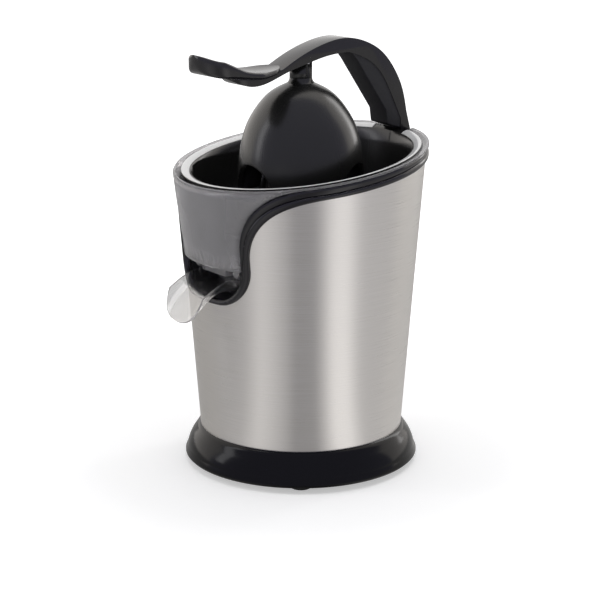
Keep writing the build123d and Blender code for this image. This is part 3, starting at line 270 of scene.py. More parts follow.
# Steps along an edge's sill, corner, side, flare and rim, up the steel, round the rolled edge and its roll,
# and along the smaller forms
SILL_STEPS, CORNER_STEPS, SIDE_STEPS, FLARE_STEPS, REAR_STEPS = 6, 24, 4, 36, 80
STEEL_ROWS, RIM_STEPS, ROLL_STEPS = 28, 160, 24
TROUGH_STEPS, DOME_ROWS, ARCH_STEPS, SKIRT_STEPS, GRIP_ROWS, TONGUE_STEPS = 40, 40, 24, 20, 60, 14
ARC_STEPS, CURVE_STEPS, CORNER_POINTS, FLAT_STEPS = 16, 10, 6, 6
DOME_STEPS, BELL_STEPS, BELLY_STEPS, GRIP_STEPS, EAR_STEPS = 12, 4, 8, 16, 12
REAMER_SIDES, STEM_SIDES, STUD_SIDES, RIB_STEPS, RIB_SIDES = 64, 48, 40, 20, 12
SETTLE_ROUNDS = 12
# Lengths that count as none: along a run, between two heights, between two points, and to a face
TINY, EXACT, MERGE, NEAR = 1e-12, 1e-9, 1e-6, 1e-5

# Most of a noise is between these levels
NOISE_LOW, NOISE_HIGH = 0.3, 0.7
WHITE = (1.0, 1.0, 1.0)
# The room that gloss sees: tones, then the rise in degrees and the limits of each change
NEAR_TONE, FAR_TONE, WINDOW_TONE = (0.92, 0.91, 1.12), (1.0, 0.955, 0.915), (1.0, 0.985, 0.97)
ROOM_CHANGE, WINDOW_CHANGE = (10.0, 0.17, 0.25), (20.0, 0.82, 0.95)
# Brightness that gloss sees on the floor, by degrees to the right of the camera, and its tone
CARD_LEVELS = ((-180, 0.40), (-110, 0.40), (-72, 0.45), (-54, 0.56), (-37, 0.86), (-26, 0.74), (-14, 0.56),
               (-5, 0.36), (13, 0.38), (21, 0.68), (30, 1.12), (42, 1.16), (48, 0.98), (56, 0.72), (64, 0.65),
               (116, 0.58), (180, 0.40))
CARD_TONE, CARD_TURN = (1.0, 0.985, 0.965), 36.0
GLOW_NEAR, GLOW_FAR = 0.14, 0.50
# Soft boxes: place, aim, width, height and power
LAMPS = {"overhead": ((0.0, 0.1, 1.7), (0, 0, 0.1), 1.4, 1.4, 10.0),
         "strip_left": ((-0.65, -1.0, 0.7), (0, 0, 0.2), 0.25, 1.0, 2.0),
         "strip_rear": ((-0.1, 1.2, 0.7), (0, 0, 0.2), 0.25, 1.0, 2.0)}


# Curves

def spline(points, steps=CURVE_STEPS):
    """Points along a natural cubic curve through the given points."""
    count = len(points)
    spans = [(points[i + 1] - points[i]).length for i in range(count - 1)]
    slopes = [(points[i + 1] - points[i]) / spans[i] for i in range(count - 1)]
    lower, bends = [0.0], [points[0] * 0]
    for i in range(1, count - 1):
        weight = 2 * (spans[i - 1] + spans[i]) - spans[i - 1] * lower[-1]
        bends.append((6 * (slopes[i] - slopes[i - 1]) - spans[i - 1] * bends[-1]) / weight)
        lower.append(spans[i] / weight)
    curve = [points[0] * 0] * count
    for i in range(count - 2, 0, -1):
        curve[i] = bends[i] - lower[i] * curve[i + 1]
    found = []
    for i, span in enumerate(spans):
        for step in range(steps):
            t = span * step / steps
            drop = slopes[i] - span * (2 * curve[i] + curve[i + 1]) / 6
            found.append(points[i] + drop * t + curve[i] * t * t / 2
                         + (curve[i + 1] - curve[i]) * t**3 / (6 * span))
    return found + [points[-1]]


def profile(shares, radius, foot, rise):
    """Points of radius and height from a table of shares."""
    return [Vector((r * radius, foot + t * rise)) for r, t in shares]


def arc(y, z, radius, turn, steps=ARC_STEPS):
    """Points of Y and Z round a middle, from its +Y side through a turn."""
    return [Vector((y + radius * cos(turn * i / steps), z + radius * sin(turn * i / steps)))
            for i in range(steps + 1)]


def run_lengths(points):
    """Length of a run of points up to each of them."""
    run = [0.0]
    for a, b in zip(points, points[1:]):
        run.append(run[-1] + (b - a).length)
    return run


def level_at(curve, y):
    """Height of a curve of Y and Z at a place along Y."""
    for a, b in zip(curve, curve[1:]):
        if min(a.x, b.x) <= y <= max(a.x, b.x) and a.x != b.x:
            return a.y + (b.y - a.y) * (y - a.x) / (b.x - a.x)
    return min(curve, key=lambda p: abs(p.x - y)).y


def rounded_box(half_width, low, high, radius):
    """Points round a box section with rounded corners, more of them along its top and underside."""
    points = []
    for sx, sz, first in ((1, 1, 0.0), (-1, 1, 0.5), (-1, -1, 1.0), (1, -1, 1.5)):
        cx, cz = sx * (half_width - radius), (high - radius if sz > 0 else low + radius)
        angles = [pi * (first + i / CORNER_POINTS / 2) for i in range(CORNER_POINTS + 1)]
        points += [(cx + radius * cos(a), cz + radius * sin(a)) for a in angles]
        if first in (0.0, 1.0):
            points += [(cx * (1 - i / FLAT_STEPS), points[-1][1]) for i in range(1, 2 * FLAT_STEPS)]
    return points


# Meshes

def placed(name, data):
    """A new object in the scene."""
    item = bpy.data.objects.new(name, data)
    bpy.context.scene.collection.objects.link(item)
    return item


def add_piece(name, mesh, look, body, slot, *nodes, smooth=35, edge=None):
    """Put a finished mesh in the scene, riding on a body and standing for CAD nodes.

    Faces that are marked as cut edges can have a finish of their own.
    """
    mesh.shade_smooth()
    mesh.set_sharp_from_angle(angle=radians(smooth))
    marks = [face.material_index for face in mesh.polygons] if edge else []
    mesh.materials.clear()
    mesh.materials.append(material_for(look))
    if edge:
        mesh.materials.append(material_for(edge))
        mesh.polygons.foreach_set("material_index", marks)
    piece = placed(name, mesh)
    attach(piece, body)
    if nodes:
        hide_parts(*nodes)
    return piece


def mesh_of(*meshes):
    """An editable mesh that holds the given meshes."""
    built = bmesh.new()
    for mesh in meshes:
        built.from_mesh(mesh)
    return built


def tidy_mesh(built, name):
    """Merge doubled points, point all faces outwards and make the mesh."""
    bmesh.ops.remove_doubles(built, verts=built.verts, dist=MERGE)
    bmesh.ops.recalc_face_normals(built, faces=built.faces)
    mesh = bpy.data.meshes.new(name)
    built.to_mesh(mesh)
    built.free()
    return mesh


def closed(mesh, name):
    """The mesh with its open ends filled."""
    built = mesh_of(mesh)
    bmesh.ops.holes_fill(built, edges=built.edges)
    return tidy_mesh(built, name)


def shifted(mesh, x):
    """The mesh moved along X."""
    for vertex in mesh.vertices:
        vertex.co.x += x
    return mesh


def grid_mesh(name, rows, wrap_rows=False, wrap_columns=True):
    """A skin over rows of points; rows and columns can close on themselves."""
    built = bmesh.new()
    grid = [[built.verts.new(p) for p in row] for row in rows]
    for low, high in list(zip(grid, grid[1:])) + ([(grid[-1], grid[0])] if wrap_rows else []):
        count = len(low)
        for i in range(count if wrap_columns else count - 1):
            j = (i + 1) % count
            built.faces.new((low[i], low[j], high[j], high[i]))
    return tidy_mesh(built, name)


def lathe_rows(points, segments):
    """Rings of points about Z from points of radius and height."""
    return [[Vector((p.x * sin(2 * pi * i / segments), -p.x * cos(2 * pi * i / segments), p.y))
             for i in range(segments)] for p in points]


def applied(work):
    """The plain mesh of an object with its modifiers; the object itself goes."""
    result = bpy.data.meshes.new_from_object(work.evaluated_get(bpy.context.evaluated_depsgraph_get()))
    bpy.data.objects.remove(work)
    return result


def finished(mesh, *modifiers):
    """The mesh with modifiers applied, each given as its kind and settings."""
    work = placed("work", mesh)
    for kind, settings in modifiers:
        modifier = work.modifiers.new(kind.title(), kind)
        for key, value in settings.items():
            setattr(modifier, key, value)
    return applied(work)


def bevel(width, segments, limit):
    """Rounding of the edges that turn by more than a limit in degrees."""
    return "BEVEL", {"width": width, "segments": segments, "limit_method": "ANGLE",
                     "angle_limit": radians(limit)}


def wall(thickness, **more):
    """A wall inwards of a skin."""
    return "SOLIDIFY", {"thickness": thickness, "offset": -1.0, **more}


def prism_mesh(name, outline, half_width):
    """A slab across X from an outline of Y and Z."""
    built = bmesh.new()
    sides = [[built.verts.new((x, p.x, p.y)) for p in outline] for x in (-half_width, half_width)]
    for i in range(len(outline)):
        j = (i + 1) % len(outline)
        built.faces.new((sides[0][i], sides[0][j], sides[1][j], sides[1][i]))
    for side in sides:
        built.faces.new(side)
    return tidy_mesh(built, name)


def cad_copy(node, name):
    """A merged copy of a CAD node's mesh."""
    return tidy_mesh(mesh_of(frame["nodes"][node].data), name)


def joined_copy(name, *nodes):
    """Copies of CAD nodes that touch, joined into one closed mesh without the faces between them."""
    mesh = cad_copy(nodes[0], name)
    for node in nodes[1:]:
        tool = placed("tool", cad_copy(node, node))
        mesh = finished(mesh, ("BOOLEAN", {"object": tool, "operation": "UNION", "solver": "EXACT"}))
        bpy.data.objects.remove(tool)
    return mesh


# Node trees

def adder(tree):
    """A function that adds a node to a tree.

    What is given for the node's inputs, in order or by name, is linked if it is a node or a socket and set if
    it is a value. Other names are the node's own settings.
    """
    def fill(socket, value):
        if isinstance(value, bpy.types.Node):
            value = value.outputs[0]
        if isinstance(value, bpy.types.NodeSocket):
            tree.links.new(value, socket)
        else:
            socket.default_value = value

    def add(kind, *inputs, **settings):
        node = tree.nodes.new(kind)
        for key, value in settings.items():
            if key in node.inputs:
                fill(node.inputs[key], value)
            else:
                setattr(node, key, value)
        for socket, value in zip(node.inputs, inputs):
            fill(socket, value)
        return node
    return add


def empty_tree(owner):
    """The cleared node tree of a material or a world."""
    owner.use_nodes = True
    owner.node_tree.nodes.clear()
    return owner.node_tree


def size_tree(name, *sizes):
    """A geometry tree with inputs for its sizes and its material, its node adder and those inputs."""
    tree = bpy.data.node_groups.new(name, "GeometryNodeTree")
    kinds = {"Geometry": "Geometry", "Count": "Int", "Material": "Material"}
    for label in ("Geometry", *sizes, "Material"):
        tree.interface.new_socket(label, in_out="INPUT", socket_type="NodeSocket" + kinds.get(label, "Float"))
    tree.interface.new_socket("Geometry", in_out="OUTPUT", socket_type="NodeSocketGeometry")
    return tree, adder(tree), tree.nodes.new("NodeGroupInput").outputs


def ended(tree, add, given, shape):
    """The tree with its instances made real and its material set."""
    real = add("GeometryNodeRealizeInstances", shape)
    add("NodeGroupOutput", add("GeometryNodeSetMaterial", Geometry=real, Material=given["Material"]))
    return tree


def turned_copies(add, count, shape):
    """One copy of a shape for each count, turned evenly about Z."""
    step = add("ShaderNodeMath", 2 * pi, count, operation="DIVIDE")
    turn = add("ShaderNodeMath", add("GeometryNodeInputIndex"), step, operation="MULTIPLY")
    rotation = add("FunctionNodeEulerToRotation", add("ShaderNodeCombineXYZ", Z=turn))
    return add("GeometryNodeInstanceOnPoints", Points=add("GeometryNodePoints", Count=count), Instance=shape,
               Rotation=rotation)


def wall_rib_tree():
    """Upright ribs round the inside of a leaning wall."""
    tree, add, given = size_tree("wall_ribs", "Count", "Radius", "Foot", "Length", "Width", "Depth", "Lean")
    size = add("ShaderNodeCombineXYZ", given["Depth"], given["Width"], given["Length"])
    middle = add("ShaderNodeMath", given["Length"], 0.5, given["Foot"], operation="MULTIPLY_ADD")
    rib = add("GeometryNodeTransform", Geometry=add("GeometryNodeMeshCube", Size=size),
              Translation=add("ShaderNodeCombineXYZ", X=given["Radius"], Z=middle),
              Rotation=add("ShaderNodeCombineXYZ", Y=given["Lean"]))
    return ended(tree, add, given, turned_copies(add, given["Count"], rib))


def cone_rib_tree():
    """The cone that comes in, with round ribs that run up its side."""
    tree, add, given = size_tree("cone_ribs", "Count", "Radius", "Foot", "Rise", "Rib")
    ends = {}
    for end, out, up in REAMER_RIB_SHARES:
        side = add("ShaderNodeMath", given["Radius"], out, operation="MULTIPLY")
        level = add("ShaderNodeMath", given["Rise"], up, given["Foot"], operation="MULTIPLY_ADD")
        ends[end] = add("ShaderNodeCombineXYZ", X=side, Z=level)
    run = add("GeometryNodeCurveQuadraticBezier", Resolution=RIB_STEPS, **ends)
    ring = add("GeometryNodeCurvePrimitiveCircle", Resolution=RIB_SIDES, Radius=given["Rib"])
    rib = add("GeometryNodeCurveToMesh", Curve=run, **{"Profile Curve": ring, "Fill Caps": True})
    both = add("GeometryNodeJoinGeometry", given["Geometry"])
    tree.links.new(turned_copies(add, given["Count"], rib).outputs[0], both.inputs[0])
    return ended(tree, add, given, both)


def stud_tree():
    """A round stud on each point that comes in, with a narrower end."""
    tree, add, given = size_tree("studs", "Radius", "Height", "Narrow")
    small = add("ShaderNodeMath", given["Radius"], given["Narrow"], operation="MULTIPLY")
    stud = add("GeometryNodeMeshCone", Vertices=STUD_SIDES, Depth=given["Height"],
               **{"Radius Bottom": small, "Radius Top": given["Radius"]})
    copies = add("GeometryNodeInstanceOnPoints", Points=given["Geometry"], Instance=stud)
    return ended(tree, add, given, copies)


def grown(tree, mesh, look, **sizes):
    """The plain mesh that a geometry tree makes from a mesh."""
    work = placed("work", mesh)
    modifier = work.modifiers.new("Grow", "NODES")
    modifier.node_group = tree
    sockets = {item.name: item.identifier for item in tree.interface.items_tree if item.in_out == "INPUT"}
    for label, value in (*sizes.items(), ("Material", material_for(look))):
        modifier[sockets[label]] = value
    return applied(work)


def point_mesh(name, points):
    """A mesh of loose points."""
    mesh = bpy.data.meshes.new(name)
    mesh.from_pydata(points, [], [])
    return mesh


# Materials

def finish(name, base, roughness, metallic=0.0, shine=0.5, transmission=0.0, ior=1.5):
    """A new material with a shader whose plain numbers are set on its own sockets."""
    material = bpy.data.materials.new(name)
    tree = empty_tree(material)
    add = adder(tree)
    shader = add("ShaderNodeBsdfPrincipled", Roughness=roughness, Metallic=metallic, IOR=ior,
                 **{"Base Color": (*base, 1.0), "Specular IOR Level": shine,
                    "Transmission Weight": transmission})
    output = add("ShaderNodeOutputMaterial", shader)
    return tree, shader.inputs, shader, output


def grain(tree, scale, stretch=(1.0, 1.0, 1.0), detail=4.0):
    """A noise on the object's own coordinates; stretch draws its features out."""
    add = adder(tree)
    place = add("ShaderNodeMapping", add("ShaderNodeTexCoord").outputs["Object"], Scale=stretch)
    return add("ShaderNodeTexNoise", Vector=place, Scale=scale, Detail=detail)


def vary(tree, value, low, high, target):
    """Drive a socket between two levels from a noise."""
    levels = adder(tree)("ShaderNodeMapRange", value, NOISE_LOW, NOISE_HIGH, low, high)
    tree.links.new(levels.outputs["Result"], target)


def tint(tree, value, base, spread, target):
    """Drive a colour socket between a darker and a lighter shade from a noise."""
    ramp = adder(tree)("ShaderNodeValToRGB", value)
    for mark, place, sign in zip(ramp.color_ramp.elements, (NOISE_LOW, NOISE_HIGH), (-1, 1)):
        mark.position = place
        mark.color = (*[min(1.0, c * (1 + sign * spread)) for c in base], 1.0)
    tree.links.new(ramp.outputs["Color"], target)


def relief(tree, value, target, strength, distance):
    """Raise the surface by a noise."""
    bump = adder(tree)("ShaderNodeBump", Height=value, Strength=strength, Distance=distance)
    tree.links.new(bump.outputs["Normal"], target)


def brushed_steel(base):
    """Stainless steel brushed round the body, with fine level strokes."""
    tree, sockets, _, _ = finish("brushed_steel", base, 0.30, metallic=1.0)
    strokes = grain(tree, 1.0, (28.0, 28.0, 2600.0), 5.0)
    vary(tree, strokes, 0.27, 0.36, sockets["Roughness"])
    tint(tree, strokes, base, 0.05, sockets["Base Color"])
    relief(tree, strokes, sockets["Normal"], 0.05, 0.0001)
    sockets["Anisotropic"].default_value = 0.8
    sockets["Anisotropic Rotation"].default_value = 0.25
    tangent = adder(tree)("ShaderNodeTangent", direction_type="RADIAL", axis="Z")
    tree.links.new(tangent.outputs["Tangent"], sockets["Tangent"])


def moulded(name, base, roughness, shine=0.5, cell=900.0, depth=0.00002, spread=0.15):
    """Moulded plastic with a faint orange peel and small changes of gloss."""
    tree, sockets, _, _ = finish(name, base, roughness, shine=shine)
    vary(tree, grain(tree, 60.0), roughness * 0.85, roughness * 1.15, sockets["Roughness"])
    tint(tree, grain(tree, 24.0), base, spread, sockets["Base Color"])
    relief(tree, grain(tree, cell), sockets["Normal"], 0.2, depth)


def clear_plastic(name, base, haze, body=1.0):
    """Clear plastic with a light tint, faint moulding flow and a pale haze; a thin body lets light past."""
    tree, sockets, shader, output = finish(name, base, 0.04, transmission=1.0, ior=1.47)
    sockets["Alpha"].default_value = body
    relief(tree, grain(tree, 40.0, (1.0, 1.0, 0.4), 2.0), sockets["Normal"], 0.06, 0.0004)
    vary(tree, grain(tree, 120.0), 0.03, 0.07, sockets["Roughness"])
    add = adder(tree)
    mist = add("ShaderNodeBsdfDiffuse", Color=(*base, 1.0))
    mixed = add("ShaderNodeMixShader", haze, shader, mist)
    vary(tree, grain(tree, 18.0, (1.0, 1.0, 0.5), 2.0), haze * 0.9, haze * 1.1, mixed.inputs[0])
    tree.links.new(mixed.outputs["Shader"], output.inputs["Surface"])


def worked_metal(name, base, roughness, stretch):
    """Turned, ground or plated metal with strokes in one direction."""
    tree, sockets, _, _ = finish(name, base, roughness, metallic=1.0)
    strokes = grain(tree, 1.0, stretch)
    vary(tree, strokes, roughness * 0.8, roughness * 1.25, sockets["Roughness"])
    tint(tree, strokes, base, 0.08, sockets["Base Color"])


def make_materials(colours):
    """A finish for each of the record's material slots, and a few of the scene's own."""
    brushed_steel(colours.steel)
    moulded("gloss_black", colours.gloss_black, 0.045, depth=0.000006)
    moulded("lever_black", colours.lever_black, 0.16)
    moulded("satin_black", colours.satin_black, 0.30)
    moulded("trim_black", colours.trim_black, 0.10)
    moulded("base_black", colours.base_black, 0.16, shine=0.2)
    clear_plastic("clear_plastic", colours.clear, 0.01, 0.62)
    # Dark finish for the spout's cut edges: painted shade for the dark lines along clear edges
    clear_plastic("painted_shade_edge", colours.edge, 0.25)
    clear_plastic("misted_plastic", colours.smoke, 0.27)
    # Pale ring colour that paints the reflection of the bright room in the strainer's glossy lip
    moulded("painted_reflection_pale", colours.pale, 0.07, shine=0.9, spread=0.02)
    moulded("rubber", colours.rubber, 0.75, cell=500.0, depth=0.0001)
    worked_metal("pin_steel", colours.pin_steel, 0.28, (900.0, 900.0, 900.0))
    worked_metal("plate_steel", colours.plate, 0.40, (60.0, 900.0, 60.0))
    moulded("motor_paint", colours.motor, 0.45)
    worked_metal("iron", colours.iron, 0.5, (30.0, 30.0, 2000.0))
    worked_metal("brass", colours.brass, 0.3, (30.0, 30.0, 1500.0))
    moulded("gear_plastic", colours.white, 0.5, spread=0.05)


def material_for(look):
    """A finish by its own name or by its slot in the record."""
    return bpy.data.materials[{"steel": "brushed_steel", "clear": "clear_plastic"}.get(look, look)]


# The edge of the steel and of the trim

def steel_radius(s, z):
    """Outer radius of the steel at a height."""
    return s.foot_radius + s.taper * (z - s.seam_height)


def on_body(s, x, y, z, out):
    """The point beside a place whose distance from the axis is the steel's radius plus an offset."""
    flat = Vector((x, y)).normalized() * (steel_radius(s, z) + out)
    return Vector((flat.x, flat.y, z))


def edge_point(s, drop, x=None, turn=None):
    """A point of the steel's face at a drop under the rim, at a sideways place or a turn from the front."""
    tilt = atan(s.rim_slope)
    z = s.rim_height
    for _ in range(SETTLE_ROUNDS):
        radius = steel_radius(s, z)
        y = -sqrt(max(radius**2 - x**2, 0)) if turn is None else -radius * cos(turn)
        z = s.rim_height + (sin(tilt) * y - drop) / cos(tilt)
    side = x if turn is None else radius * sin(turn)
    return Vector((side, y, z))


def edge_half(s, half_width, depth, corner, flare, level):
    """Half an edge, from the middle of the sill up round the opening and along the rim to the rear."""
    places = [(i / SILL_STEPS * (half_width - corner), depth) for i in range(SILL_STEPS)]
    for a in [i / CORNER_STEPS * pi / 2 for i in range(CORNER_STEPS)]:
        places.append((half_width - corner + corner * sin(a), depth - corner + corner * cos(a)))
    places += [(half_width, depth - corner + i / SIDE_STEPS * (level + flare - depth + corner))
               for i in range(SIDE_STEPS)]
    for a in [i / FLARE_STEPS * pi / 2 for i in range(FLARE_STEPS)]:
        places.append((half_width + flare - flare * cos(a), level + flare - flare * sin(a)))
    points = [edge_point(s, drop, x=x) for x, drop in places]
    start = edge_point(s, level, x=half_width + flare)
    first = asin(start.x / sqrt(start.x**2 + start.y**2))
    return points + [edge_point(s, level, turn=first + i / REAR_STEPS * (pi - first))
                     for i in range(REAR_STEPS + 1)]


def whole_edge(half):
    """Both halves of an edge as one closed loop."""
    return half + [Vector((-p.x, p.y, p.z)) for p in reversed(half[1:-1])]


def steel_edge(s):
    """Half the steel's upper edge."""
    return edge_half(s, s.half_width, s.depth, s.corner, s.flare, s.band_drop)


def trim_edge(s):
    """Half the trim's inner edge."""
    return edge_half(s, s.half_width - s.trim_side, s.depth - s.trim_sill, s.trim_corner, s.trim_flare,
                     s.trim_top)


class PRESS_OT_finishes(bpy.types.Operator):
    """Make the finishes and give them to the CAD nodes"""
    bl_idname = "press.finishes"
    bl_label = "Finishes"

    def execute(self, context):
        make_materials(context.scene.press_finishes)
        for row in frame["record"]["subparts"]:
            data = frame["nodes"][row["node"]].data
            data.materials.clear()
            data.materials.append(material_for(row["material_slot"]))
        return {"FINISHED"}


class PRESS_OT_steel_body(bpy.types.Operator):
    """Tapered steel shell with the curved edge of its front opening"""
    bl_idname = "press.steel_body"
    bl_label = "Steel body"

    def execute(self, context):
        s = context.scene.press_body
        half = steel_edge(s)
        run = run_lengths(half)
        turns = [pi * r / run[-1] for r in run]
        turns += [-t for t in reversed(turns[1:-1])]
        rows = []
        for share in [k / STEEL_ROWS for k in range(STEEL_ROWS + 1)]:
            row = []
            for point, turn in zip(whole_edge(half), turns):
                z = s.seam_height + share * (point.z - s.seam_height)
                foot = Vector((s.foot_radius * sin(turn), -s.foot_radius * cos(turn)))
                flat = foot.lerp(Vector((point.x, point.y)), share)
                row.append(on_body(s, flat.x, flat.y, z, 0.0))
            rows.append(row)
        mesh = finished(grid_mesh("steel_body", rows), wall(s.wall))
        add_piece("steel_body", mesh, "steel", "housing", "steel", "steel_shell")
        return {"FINISHED"}


class PRESS_OT_trim(bpy.types.Operator):
    """Black trim along the steel's edge: a rounded bead and a narrow upper band, with the hinge ears"""
    bl_idname = "press.trim"
    bl_label = "Edge trim"

    def execute(self, context):
        s, lever = context.scene.press_body, context.scene.press_lever
        rows = []
        for a, b in zip(whole_edge(steel_edge(s)), whole_edge(trim_edge(s))):
            width = (b - a).length
            bead = min(s.bead, width * BEAD_LIMIT)
            across = [(t * bead, out * s.trim_proud) for t, out in BEAD_SHARES]
            across += [(bead + t * (width - bead), out * s.trim_proud) for t, out in BAND_SHARES]
            across += [(width, -s.trim_depth), (0.0, -s.trim_depth)]
            places = [a.lerp(b, d / width) for d, _ in across]
            rows.append([on_body(s, p.x, p.y, p.z, out) for p, (_, out) in zip(places, across)])
        mesh = grid_mesh("edge_trim", rows, wrap_rows=True)
        add_piece("rim_trim", mesh, "trim_black", "housing", "gloss_black", "edge_trim", smooth=50)
        self.ears(s, lever)
        return {"FINISHED"}

    def ears(self, s, lever):
        """Two rounded lugs behind the rim that hold the hinge pin."""
        radius, half = lever.ear_radius, lever.ear_thickness / 2
        foot_z = edge_point(s, s.band_drop, turn=pi).z
        outline = arc(lever.pivot_y, lever.pivot_z, radius, pi)
        outline += [Vector((lever.pivot_y - radius, foot_z)),
                    Vector((lever.pivot_y + s.trim_proud * EAR_HEEL, foot_z))]
        for side, name in ((-1, "hinge_ear_left"), (1, "hinge_ear_right")):
            ear = shifted(prism_mesh("ear", outline, half), side * (lever.half_width + lever.ear_gap + half))
            add_piece(name, finished(ear, bevel(EAR_EDGE, 3, 40)), "gloss_black", "housing", "gloss_black")


class PRESS_OT_base(bpy.types.Operator):
    """Flared base"""
    bl_idname = "press.base"
    bl_label = "Base"

    def execute(self, context):
        mesh = cad_copy("base_skirt", "base_ring")
        add_piece("base_ring", mesh, "base_black", "housing", "satin_black", "base_skirt", smooth=32)
        return {"FINISHED"}


class PRESS_OT_bowls(bpy.types.Operator):
    """Clear collector, and black strainer with the ribs of its wall and a pale rolled edge whose pale colour
    paints the reflection on the lip
    """
    bl_idname = "press.bowls"
    bl_label = "Collector and strainer"

    def execute(self, context):
        s = context.scene.press_small
        for name, look, slot, nodes in (
                ("clear_collector", "misted_plastic", "clear",
                 ("juice_collector", "collector_base", "outlet_neck")),
                ("black_strainer", "gloss_black", "gloss_black", ("strainer", "strainer_sieve"))):
            add_piece(name, joined_copy(name, *nodes), look, "housing", slot, *nodes, smooth=32)
        self.rim(context.scene.press_body, s)
        mesh = grown(wall_rib_tree(), point_mesh("ribs", []), "gloss_black", Count=s.wall_ribs,
                     Radius=s.wall_radius, Foot=s.wall_foot, Length=s.wall_length, Width=s.wall_width,
                     Depth=s.wall_proud, Lean=s.wall_lean)
        add_piece("strainer_ribs", mesh, "gloss_black", "housing", "gloss_black")
        return {"FINISHED"}

    def rim(self, body, s):
        """Pale rolled edge that follows the rim's funnel over the strainer's lip, open at the hinge; its pale
        colour is a painted reflection of the bright room in the glossy lip.
        """
        tilt = atan(body.rim_slope)
        middle, half = (s.rim_inner + s.rim_outer) / 2, (s.rim_outer - s.rim_inner) / 2
        section = []
        for a in [2 * pi * i / ROLL_STEPS for i in range(ROLL_STEPS)]:
            out = half * cos(a)
            section.append((middle + out, s.rim_level - s.rim_fall * (s.rim_outer - middle - out)
                            + s.rim_roll * sin(a)))
        rows = []
        for turn in [2 * pi * (i + 0.5) / RIM_STEPS for i in range(RIM_STEPS)]:
            row = []
            for radius, level in section:
                x, y = radius * sin(turn), -radius * cos(turn)
                row.append(Vector((x, y * cos(tilt) - level * sin(tilt),
                                   body.rim_height + y * sin(tilt) + level * cos(tilt))))
            rows.append(row)
        from_rear = rows[RIM_STEPS // 2:] + rows[:RIM_STEPS // 2]
        kept = [row for row in from_rear if row[0].y <= 0 or abs(row[0].x) >= s.rim_gap]
        mesh = closed(grid_mesh("rim", kept), "painted_reflection_rim")
        add_piece("painted_reflection_rim", mesh, "painted_reflection_pale", "housing", "clear", smooth=50)


class PRESS_OT_spout(bpy.types.Operator):
    """Clear flip spout: a round trough with an open mouth, hung on two ears"""
    bl_idname = "press.spout"
    bl_label = "Flip spout"

    def execute(self, context):
        s = context.scene.press_spout
        top = ((s.back, s.top), (s.pivot_y, s.top), (s.brow_y, s.brow_z), (s.mouth_y, s.mouth_z))
        floor = ((s.back, s.floor), (s.pivot_y, s.floor), (s.bend_y, s.floor - BEND_DROP), (s.tip_y, s.tip_z))
        rows = []
        for high, low in zip(*[spline([Vector(p) for p in line]) for line in (top, floor)]):
            row = []
            for a in [pi * i / TROUGH_STEPS for i in range(TROUGH_STEPS + 1)]:
                side = s.half_width * abs(cos(a)) ** s.round * (1 if a < pi / 2 else -1)
                place = high.lerp(low, sin(a) ** s.round)
                row.append(Vector((side, place.x, place.y)))
            rows.append(row)
        built = mesh_of(grid_mesh("trough", rows, wrap_columns=False))
        rear = [v for v in built.verts if v.co.y > s.back - NEAR]
        built.faces.new(sorted(rear, key=lambda v: -v.co.x))
        trough = tidy_mesh(built, "trough")
        # The cut edges of the wall take the darker finish: painted shade along the spout's edges
        for look in ("clear", "painted_shade_edge"):
            trough.materials.append(material_for(look))
        trough = finished(trough, wall(s.wall, material_offset_rim=1), bevel(s.wall * SPOUT_EDGE, 2, 50))
        outline = arc(s.pivot_y, s.pivot_z, s.ear, pi, EAR_STEPS)
        outline += [Vector((s.pivot_y - s.ear, s.top - s.ear)), Vector((s.pivot_y + s.ear, s.top - s.ear))]
        half = s.wall / 2
        ears = [shifted(prism_mesh("ear", outline, half), side * (s.half_width - half)) for side in (-1, 1)]
        mesh = tidy_mesh(mesh_of(trough, *ears), "flip_spout")
        add_piece("flip_spout", mesh, "clear", "drip_spout", "clear", "spout", smooth=40, edge="painted_shade_edge")
        return {"FINISHED"}


class PRESS_OT_reamer(bpy.types.Operator):
    """Driven cone with ribs up its side, and the spring under its shaft"""
    bl_idname = "press.reamer"
    bl_label = "Reamer"

    def execute(self, context):
        s = context.scene.press_small
        points = profile(REAMER_SHARES, s.cone_radius, s.cone_foot, s.cone_rise)
        rings = lathe_rows(points[:1] + spline(points[1:]), REAMER_SIDES)
        cone = closed(grid_mesh("cone", rings), "cone")
        mesh = grown(cone_rib_tree(), cone, "gloss_black", Count=s.cone_ribs, Radius=s.cone_radius,
                     Foot=s.cone_foot, Rise=s.cone_rise, Rib=s.cone_rib)
        add_piece("ribbed_cone", mesh, "gloss_black", "reamer", "gloss_black", "reamer_cone")
        self.spring(s)
        return {"FINISHED"}

    def spring(self, s):
        """Return spring under the shaft, on a mesh of its own."""
        spring = add_piece("cone_spring", cad_copy("return_spring", "cone_spring"), "pin_steel", "housing",
                           "pin_steel", "return_spring")
        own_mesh(spring)


class PRESS_OT_feet(bpy.types.Operator):
    """Rubber feet under the base"""
    bl_idname = "press.feet"
    bl_label = "Feet"

    def execute(self, context):
        s = context.scene.press_small
        places = self.islands(mesh_of(cad_copy("rubber_feet", "feet")))
        mesh = grown(stud_tree(), point_mesh("feet", places), "rubber", Radius=s.foot_radius,
                     Height=s.foot_height, Narrow=FOOT_TAPER)
        add_piece("feet", mesh, "rubber", "housing", "rubber", "rubber_feet")
        return {"FINISHED"}

    def islands(self, built):
        """The middle of the underside of each loose piece of a mesh."""
        left, found = set(built.verts), []
        while left:
            group, edge = set(), [left.pop()]
            while edge:
                vert = edge.pop()
                group.add(vert)
                near = {e.other_vert(vert) for e in vert.link_edges} & left
                left -= near
                edge += near
            xs, ys, zs = zip(*[v.co for v in group])
            found.append(((min(xs) + max(xs)) / 2, (min(ys) + max(ys)) / 2, min(zs)))
        built.free()
        return sorted(found)


